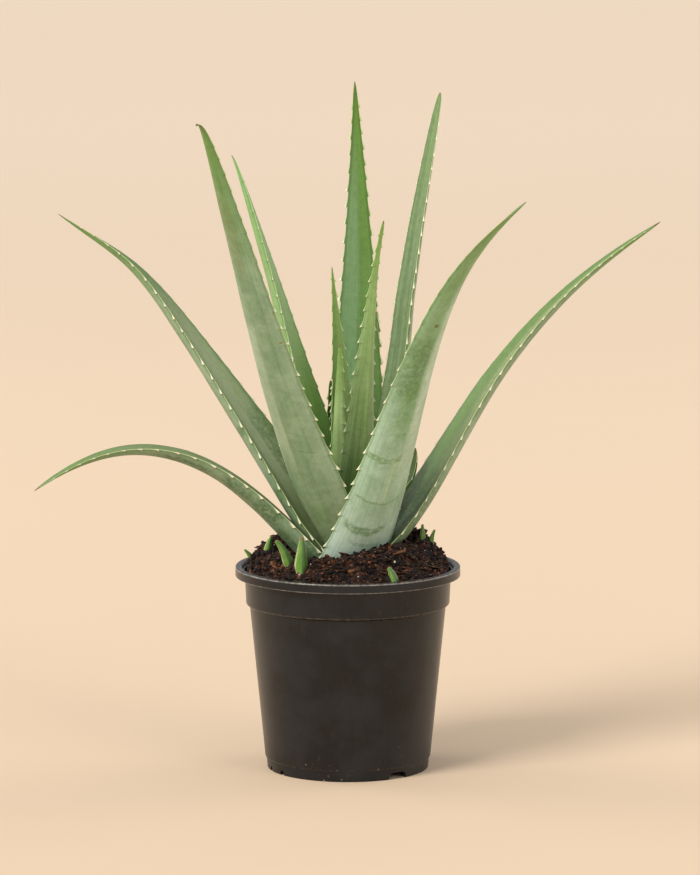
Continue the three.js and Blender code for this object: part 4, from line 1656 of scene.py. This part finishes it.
        return self._many(shape, faces, centres, tone)

    def fibres(self) -> Draft:
        """Coir fibres: thin curved threads with three sides.

        Formula: a thread's direction turns by a steady bend and a wave; its rings stand square to
        it and shrink to points at both ends, and it sags onto the soil.

        Returns:
            All fibres as one draft.
        """
        rng, places = self._strewn(self.FIBRES)
        count, rows, sides = len(places), self.FIBRE_ROWS, self.FIBRE_SIDES
        way = np.linspace(-0.5, 0.5, rows)[None]
        length = rng.uniform(4.0, 15.0, (count, 1))
        heading = 2 * np.pi * rng.random((count, 1)) + rng.uniform(-1.6, 1.6, (count, 1)) * way
        heading = heading + 0.5 * np.sin(9.0 * way + 6.0 * rng.random((count, 1)))
        step, middle = length / (rows - 1), heading[:, rows // 2, None]
        x = places[:, :1] + np.cumsum(np.cos(heading) * step, axis=1) - 0.5 * length * np.cos(middle)
        y = places[:, 1:2] + np.cumsum(np.sin(heading) * step, axis=1) - 0.5 * length * np.sin(middle)
        held = np.minimum(1.0, 75.0 / np.maximum(np.hypot(x, y), 1e-6))
        x, y = x * held, y * held
        arch = rng.uniform(0.2, 1.8, (count, 1)) * (0.25 - way**2) * 4
        z = self.shape.crumbly(x, y) * 0.5 + self.shape.height(x, y) * 0.5 + 0.7 + arch
        radius = rng.uniform(0.1, 0.26, (count, 1)) * (1.0 - 0.75 * (2 * way) ** 4)
        turn = np.arange(sides) * 2 * np.pi / sides
        around = radius[..., None] * np.cos(turn)
        rings = np.stack(
            [
                x[..., None] - np.sin(heading)[..., None] * around,
                y[..., None] + np.cos(heading)[..., None] * around,
                z[..., None] + radius[..., None] * np.sin(turn),
            ],
            axis=-1,
        ).reshape(count, rows * sides, 3)
        shape, faces = self._rods(rings, rows, sides)
        return self._many(shape, faces, np.zeros((count, 3)), rng.random(count) ** 2.0)


# ---- young shoots, stem


@dataclass(frozen=True)
class Shoot:
    """A young shoot whose back faces the front: where it breaks the soil, and its form."""

    name: str
    x: float
    y: float
    lean: float  # to the front
    sway: float  # to the right
    height: float
    width: float
    dry_tip: float = 0.6  # mm of it

    # Painted shade down the right side and painted light along the left edge, as if lit from the left.
    PAINTED_SIDE_SHADING: ClassVar[tuple[Mark, ...]] = (
        Mark(0.5, -0.75, Mark.WHOLE, 0.7, screen(58, 88, 42), 0.75),
        Mark(0.5, 0.95, Mark.WHOLE, 0.2, screen(220, 226, 164), 0.8),
    )
    FACING: ClassVar[float] = 270.0
    ROOT: ClassVar[float] = 4.0  # depth of its foot below the soil
    THINNESS: ClassVar[float] = 0.55
    CHANNEL: ClassVar[float] = 0.6

    def leaf(self, soil: SoilShape) -> LeafShape:
        """The shoot as a small closed leaf.

        Args:
            soil: the surface that it breaks.

        Returns:
            Its form, with its foot below the soil.
        """
        surface = float(soil.height(np.array(self.x), np.array(self.y)))
        steps = ((0.0, -self.ROOT / self.height), (0.15, 0.15), (0.5, 0.58), (1.0, 1.0))
        path = tuple((self.lean * lean, surface + self.height * rise) for lean, rise in steps)
        return LeafShape(
            self.name, self.FACING, path, self.width, self.width * self.THINNESS, self.CHANNEL, Skin.SHOOT,
            taper=0.62, belly=0.3, foot_share=0.62, sway=self.sway, root=(self.x, self.y), teeth=None,
            marks=self.PAINTED_SIDE_SHADING, dry_tip=self.dry_tip,
        )


@dataclass(frozen=True)
class Nursery:
    """The young shoots and the stem under the rosette."""

    shoots: tuple[Shoot, ...] = (
        Shoot("pup_far_left", -73, 8, 1, -5.2, 7.5, 5),
        Shoot("pup_back_left", -61, 0, 1, 3.4, 12.4, 6),
        Shoot("pup_leaning", -43.6, -39.2, 2, -10.4, 19.3, 8.4),
        Shoot("pup_tallest", -34.9, -51.6, 1, 0.8, 26.2, 10.4, dry_tip=2.6),
        Shoot("pup_front_right", 34.3, -63.9, 1, -4.1, 11.5, 8),
        Shoot("pup_back_right", 56.6, 5, 0.5, -0.2, 12.7, 5),
        Shoot("pup_far_right", 62.6, 10, 1, 3.2, 11, 4.8),
    )
    stem_radius: float = 8.5
    stem_foot: float = 112.0
    stem_top: float = 172.0
    crown: tuple[float, float] = (4.0, 0.0)
    scar: float = 3.0  # height of one ring of the stem
    ridge: float = 0.35

    def stem(self) -> Draft:
        """The short stem, ringed by the scars of old leaves.

        Formula: a turned profile, drawn in at both ends, whose radius carries a ridge at each scar.

        Returns:
            The closed draft with the layer "tone".
        """
        height = np.linspace(self.stem_foot, self.stem_top - 1.0, 90)
        narrowed = 1 - 0.3 * smooth((height - self.stem_top + 6) / 5)
        ends = smooth((height - self.stem_foot + 3) / 9) * narrowed
        ridge = self.ridge * np.abs(np.sin(height * np.pi / self.scar)) - self.ridge
        radius = self.stem_radius * (0.65 + 0.35 * ends) * np.minimum(1.0, ends + 0.5) + ridge
        profile = np.array([(0.0, self.stem_foot), *zip(radius, height), (0.0, self.stem_top)])
        draft = turned(profile, 48)
        draft.points += np.array([*self.crown, 0.0])
        draft.layers = {"tone": draw(np.floor(draft.points[:, 2] / self.scar), 5.0)}
        return draft

    def stem_material(self) -> bpy.types.Material:
        """Papery bark, paler on some of the scars.

        Returns:
            The material.
        """
        recipe = Recipe("stem_bark")
        grain = recipe.noise(recipe.scaled(recipe.place(), (1.0, 1.0, 0.25)), 700.0, 4.0, 0.65)
        pale = recipe.attribute("tone") * 0.6 + grain * 0.4
        colour = recipe.mix(screen(120, 106, 70), screen(176, 164, 118), pale)
        return recipe.finish(colour=colour, roughness=grain * 0.2 + 0.7, height=grain, relief=0.3)

    def build(self, soil: SoilShape) -> None:
        """Makes the shoots and the stem.

        Args:
            soil: the surface that the shoots break.
        """
        for index, shoot in enumerate(self.shoots):
            shoot.leaf(soil).build(0.9 * index, "shoot")
        show(self.stem().mesh("stem_bark"), self.stem_material(), "stem", "stem")


# ---- pot


@dataclass(frozen=True)
class Pot:
    """The thin plastic nursery pot."""

    rim_radius: float = 85.0
    rim_top: float = 154.5
    rim_skirt: float = 147.0
    lip_width: float = 4.5
    collar_top_radius: float = 78.1
    collar_bottom_radius: float = 76.9
    collar_foot: float = 125.4
    body_top_radius: float = 74.2
    body_bottom_radius: float = 62.7
    band_top: float = 8.7
    band_radius: float = 61.7
    foot_radius: float = 61.0
    wall: float = 1.5
    floor_lift: float = 3.5
    floor_thickness: float = 1.8
    disc_radius: float = 22.0
    segments: int = 288
    notch_azimuths: tuple[float, ...] = (-52, 38, 128)
    notch: tuple[float, float] = (16.0, 5.0)  # width and height
    slot_azimuths: tuple[float, ...] = (199, 216, 19)
    slot: tuple[float, float] = (4.0, 3.6)
    drains: int = 6
    drain_radius: float = 4.5
    drain_circle: float = 41.0
    sharp_edge: float = 32.0  # degrees

    def _corners(self) -> list[Triple]:
        """The section's corners, from the axis under the floor round the rim and back to the axis.

        Returns:
            Radius, height and how far each is rounded.
        """
        lip_inner = self.rim_radius - self.lip_width
        floor_top = self.floor_lift + self.floor_thickness
        inner_band = self.body_bottom_radius - self.wall
        return [
            (0.0, 0.0, 0.0),
            (self.disc_radius, 0.0, 0.4),
            (self.disc_radius + 2, self.floor_lift, 0.5),
            (self.foot_radius - 5, self.floor_lift, 0.5),
            (self.foot_radius - 2.6, 0.0, 0.3),
            (self.foot_radius, 0.0, 0.5),
            (self.band_radius, self.band_top - 0.3, 0.15),
            (self.body_bottom_radius, self.band_top + 0.3, 0.4),
            (self.body_top_radius, self.collar_foot - 0.9, 0.3),
            (self.collar_bottom_radius, self.collar_foot + 0.6, 0.8),
            (self.collar_top_radius, self.rim_top - 3.2, 0.6),
            (self.rim_radius - self.wall, self.rim_top - 3.2, 0.6),
            (self.rim_radius - self.wall, self.rim_skirt, 0.3),
            (self.rim_radius, self.rim_skirt, 0.55),
            (self.rim_radius, self.rim_top, 1.6),
            (lip_inner, self.rim_top, 1.3),
            (lip_inner - 1.2, self.rim_top - 3.0, 0.8),
            (self.collar_top_radius - self.wall, self.rim_top - 8, 1.0),
            (self.collar_bottom_radius - self.wall, self.collar_foot + 1.4, 0.5),
            (self.body_top_radius - self.wall, self.collar_foot - 1, 0.5),
            (inner_band, self.band_top, 0.2),
            (self.band_radius - self.wall, self.band_top - 1, 0.2),
            (self.band_radius - self.wall - 0.4, floor_top, 1.0),
            (self.disc_radius + 3, floor_top, 0.4),
            (self.disc_radius - 1, self.floor_thickness, 0.4),
            (0.0, self.floor_thickness, 0.0),
        ]

    @staticmethod
    def _rounded(corners: list[Triple], steps: int = 5) -> Array:
        """A polyline with its corners rounded.

        Formula: a corner C between tangent points A and B becomes the curve (1-t)2 A + 2t(1-t) C +
        t2 B; one more point on each side keeps the flat stretches flat under smooth shading.

        Args:
            corners: radius, height and rounding of each corner.
            steps: parts of each curve.

        Returns:
            Radius and height of each point.
        """
        places = np.array([corner[:2] for corner in corners])
        found = [places[:1]]
        t = np.linspace(0.0, 1.0, steps + 1)[:, None]
        for before, here, after, (_, _, size) in zip(places, places[1:], places[2:], corners[1:]):
            back, ahead = before - here, after - here
            far_back, far_ahead = np.linalg.norm(back), np.linalg.norm(ahead)
            back, ahead = back / far_back, ahead / far_ahead
            reach = min(size, 0.4 * far_back, 0.4 * far_ahead)
            hold = min(reach + 0.25, 0.48 * far_back, 0.48 * far_ahead)
            start, end = here + back * reach, here + ahead * reach
            curve = (1 - t) ** 2 * start + 2 * t * (1 - t) * here + t * t * end
            found.append(np.concatenate([[here + back * hold], curve, [here + ahead * hold]]))
        return np.concatenate([*found, places[-1:]])

    def _arch(self, azimuth: float, width: float, height: float) -> Draft:
        """A rounded bar that cuts an arch through the foot from outside.

        Formula: a flat outline with a round-cornered top, drawn out along the radius.

        Args:
            azimuth: the way that it points, in degrees.
            width, height: of the arch, in millimetres.

        Returns:
            The closed draft.
        """
        turn = np.linspace(0.0, np.pi, 19)
        round_x = np.sign(np.cos(turn)) * np.abs(np.cos(turn)) ** 0.5 * width / 2
        round_z = np.sin(turn) ** 0.5 * height
        outline_x = np.concatenate([[width / 2], round_x, [-width / 2]])
        outline_z = np.concatenate([[-5.0], round_z, [-5.0]])
        out = np.array([[self.foot_radius - 8], [self.foot_radius + 6]])
        grid = np.stack(np.broadcast_arrays(out, outline_x, outline_z), axis=-1)
        draft = closed_tube(grid, grid[0].mean(axis=0), grid[1].mean(axis=0))
        return self._swung(draft, azimuth)

    @staticmethod
    def _swung(draft: Draft, azimuth: float) -> Draft:
        """The draft turned about the Z axis.

        Args:
            draft: a draft that points along +X.
            azimuth: the way that it is to point, in degrees.

        Returns:
            This same draft.
        """
        cos, sin = math.cos(math.radians(azimuth)), math.sin(math.radians(azimuth))
        draft.points = draft.points @ np.array([[cos, sin, 0], [-sin, cos, 0], [0, 0, 1]])
        return draft

    def _drain(self, azimuth: float) -> Draft:
        """A round bar that cuts a drain hole through the floor.

        Args:
            azimuth: the way from the axis to it, in degrees.

        Returns:
            The closed draft.
        """
        profile = [(0, -4), (self.drain_radius, -4), (self.drain_radius, 10), (0, 10)]
        draft = turned(np.array(profile, float), 36)
        draft.points += np.array([self.drain_circle, 0.0, 0.0])
        return self._swung(draft, azimuth)

    def mesh(self) -> bpy.types.Mesh:
        """The pot with its foot arches, small slots and drain holes cut through it.

        Returns:
            The mesh, smooth but for its sharp edges.
        """
        wall = turned(self._rounded(self._corners()), self.segments)
        body = put("pot_wall", wall.mesh("pot_wall"))
        bars = [self._arch(azimuth, *self.notch) for azimuth in self.notch_azimuths]
        bars += [self._arch(azimuth, *self.slot) for azimuth in self.slot_azimuths]
        bars += [self._drain(360.0 / self.drains * index) for index in range(self.drains)]
        cutter = put("cutter", Draft.joined(bars).mesh("cutter"))
        cut = body.modifiers.new("cuts", "BOOLEAN")
        cut.operation, cut.solver, cut.object = "DIFFERENCE", "EXACT", cutter
        scene_state = bpy.context.evaluated_depsgraph_get()
        result = bpy.data.meshes.new_from_object(body.evaluated_get(scene_state))
        for used in (body, cutter):
            bpy.data.objects.remove(used)
        result.name = "pot_shell"
        result.polygons.foreach_set("use_smooth", np.ones(len(result.polygons), bool))
        result.set_sharp_from_angle(angle=math.radians(self.sharp_edge))
        return result

    def material(self) -> bpy.types.Material:
        """Satin dark plastic: moulding streaks, fine grain, dust low down and on the rim; wear and painted
        highlight on the rim's edges.

        Returns:
            The material.
        """
        recipe = Recipe("pot_plastic")
        place = recipe.place()
        height = recipe.node("ShaderNodeSeparateXYZ", {}, {"Vector": place}, "Z") * (1.0 / METRES)
        cloud = recipe.noise(place, 28.0, 4.0, 0.6)
        grain = recipe.noise(place, 1600.0, 2.0, 0.6)
        flow = recipe.noise(recipe.scaled(place, (1.0, 1.0, 0.06)), 420.0, 3.0, 0.6)
        scuff = recipe.noise(recipe.scaled(place, (1.0, 1.0, 0.35)), 260.0, 4.0, 0.7, 1.2)
        dust = recipe.noise(place, 330.0, 4.0, 0.7)
        chips = recipe.cells(place, 190.0)
        low = height.rise(34.0, 2.0)
        step = abs(height - (self.collar_foot + 0.9)).rise(0.9, 0.3)
        band = abs(height - self.band_top).rise(0.8, 0.2)
        rim = height.rise(self.rim_top - 1.4, self.rim_top - 0.4)
        # Pale lines at the rim's top edge and skirt: partly wear, partly painted highlight.
        top_edge = abs(height - (self.rim_top - 1.0)).rise(0.7, 0.2)
        wear_and_highlight = top_edge.larger(abs(height - self.rim_skirt).rise(0.8, 0.3))
        colour = recipe.coats(
            screen(17, 18, 20),
            (screen(30, 32, 34), cloud.rise(0.35, 0.65)),
            (screen(38, 35, 32), flow.rise(0.5, 0.75) * 0.3),
            (screen(120, 104, 86), scuff.rise(0.58, 0.8) * (low * 0.5 + 0.08)),
            (screen(190, 178, 158), chips.rise(0.13, 0.06) * low * dust.rise(0.5, 0.6) * 0.8),
            (screen(96, 84, 72), (step + band) * dust.rise(0.36, 0.64) * 0.5),
            # wear and painted highlight lines on the rim
            (screen(160, 158, 152), wear_and_highlight * (dust.rise(0.35, 0.65) * 0.5 + 0.22)),
            (screen(122, 96, 70), dust.rise(0.46, 0.7) * rim * 0.7),
        )
        rough = cloud * 0.1 + flow * 0.08 + (low * 0.1 + 0.2)
        return recipe.finish(colour=colour, roughness=rough, height=grain * 0.3 + flow * 0.7, relief=0.06,
                             Specular_IOR_Level=0.38)

    def build(self) -> None:
        """Makes the pot and dresses it."""
        show(self.mesh(), self.material(), "pot_plastic", "pot")


# ---- studio


@dataclass(frozen=True)
class SoftBox:
    """A square lamp that looks at the plant. Lengths in metres, power in watts."""

    name: str
    place: Triple
    size: float
    power: float
    colour: Colour = (1.0, 0.97, 0.93)

    TARGET: ClassVar[Vector] = Vector((0.0, 0.0, 0.25))

    def build(self) -> None:
        """Hangs the lamp up and turns it to the plant."""
        data = bpy.data.lights.new(self.name, "AREA")
        data.size, data.energy, data.color = self.size, self.power, self.colour
        lamp = put(self.name, data)
        lamp.location = self.place
        lamp.rotation_euler = (Vector(self.place) - self.TARGET).to_track_quat("Z", "Y").to_euler()


@dataclass(frozen=True)
class Studio:
    """The camera, the floor and the light. Lengths in metres."""

    camera_place: Triple = (0.001625, -3.72, 0.7948)
    camera_pitch: float = 8.304  # degrees below the level
    lens: float = 205.4  # mm
    sensor: float = 36.0  # mm
    floor_radius: float = 16.0
    floor_sides: int = 96
    # Painted gradient of light and shade: darker floor colour at the front, lighter at the back.
    floor_front_shaded: Colour = screen(226, 200, 170)
    floor_back_lit: Colour = screen(247, 224, 197)
    sky: Colour = (0.98, 0.98, 1.0)
    sky_strength: float = 0.52
    sun: Colour = (1.0, 0.97, 0.92)
    sun_strength: float = 2.3
    sun_from: Triple = (-0.62, -0.6, 0.64)
    sun_softness: float = 26.0  # degrees
    boxes: tuple[SoftBox, ...] = (
        SoftBox("box_right_front", (2.3, -2.4, 1.3), 1.6, 26.0),
        SoftBox("box_left_back", (-2.6, 1.2, 1.5), 1.6, 24.0),
        SoftBox("box_right_back", (2.6, 1.4, 1.3), 1.6, 18.0),
    )

    def camera(self) -> None:
        """The camera at the photographer's place."""
        data = bpy.data.cameras.new("camera")
        data.lens, data.sensor_width = self.lens, self.sensor
        data.clip_start, data.clip_end = 0.1, 60.0
        camera = put("camera", data)
        camera.location = self.camera_place
        camera.rotation_euler = (math.radians(90 - self.camera_pitch), 0.0, 0.0)
        bpy.context.scene.camera = camera

    def floor(self) -> None:
        """A pale floor that reaches past the picture's top edge, darker at the front and lighter at the back:
        a painted gradient of light and shade.
        """
        angles = np.linspace(0.0, 2.0 * np.pi, self.floor_sides, endpoint=False)
        rim = np.stack([np.cos(angles), np.sin(angles), 0.0 * angles], axis=-1) * self.floor_radius
        mesh = bpy.data.meshes.new("floor")
        mesh.from_pydata(rim.tolist(), [], [list(range(self.floor_sides))])
        recipe = Recipe("floor")
        cloud = recipe.noise(recipe.place(), 3.0, 3.0)
        depth = recipe.node("ShaderNodeSeparateXYZ", {}, {"Vector": recipe.place()}, "Y")
        # painted gradient of light and shade from the front to the back
        colour = recipe.mix(self.floor_front_shaded, self.floor_back_lit, (depth + cloud * 0.4).rise(0.2, 6.5))
        mesh.materials.append(recipe.finish(colour=colour, roughness=0.85, height=cloud, relief=0.01))
        floor = put("floor", mesh)

    def light(self) -> None:
        """Even light from all round, one soft sun from the front left and the soft boxes."""
        world = bpy.data.worlds.new("studio")
        world.use_nodes = True
        background = world.node_tree.nodes["Background"]
        background.inputs["Color"].default_value = (*self.sky, 1.0)
        background.inputs["Strength"].default_value = self.sky_strength
        bpy.context.scene.world = world
        data = bpy.data.lights.new("sun", "SUN")
        data.energy, data.color, data.angle = self.sun_strength, self.sun, math.radians(self.sun_softness)
        put("sun", data).rotation_euler = Vector(self.sun_from).to_track_quat("Z", "Y").to_euler()
        for box in self.boxes:
            box.build()

    def build(self) -> None:
        """Sets the camera, the floor, the light and how colours are shown."""
        self.camera()
        self.floor()
        self.light()
        bpy.context.scene.view_settings.view_transform = "Standard"


def points_near_soil(names: list[str], top: float) -> Array:
    """Every third point of some pieces, as far as it lies below a height.

    Args:
        names: the pieces.
        top: the height in millimetres.

    Returns:
        Points in millimetres.
    """
    found = []
    for name in names:
        mesh = bpy.data.objects[name].data
        points = np.zeros(len(mesh.vertices) * 3)
        mesh.vertices.foreach_get("co", points)
        points = points.reshape(-1, 3)[::3] / METRES
        found.append(points[points[:, 2] < top])
    return np.concatenate(found)


def main() -> None:
    """Builds the studio and every piece of the plant."""
    logging.basicConfig(level=logging.INFO, format="%(name)s: %(message)s")
    Studio().build()
    soil, rosette, nursery = Soil(), Rosette(), Nursery()
    Pot().build()
    rosette.build()
    nursery.build(soil.shape)
    grown = [leaf.name for leaf in rosette.leaves()] + [shoot.name for shoot in nursery.shoots]
    soil.build(points_near_soil([name + "_skin" for name in grown], SHOOT_ZONE))


if __name__ == "__main__":
    main()
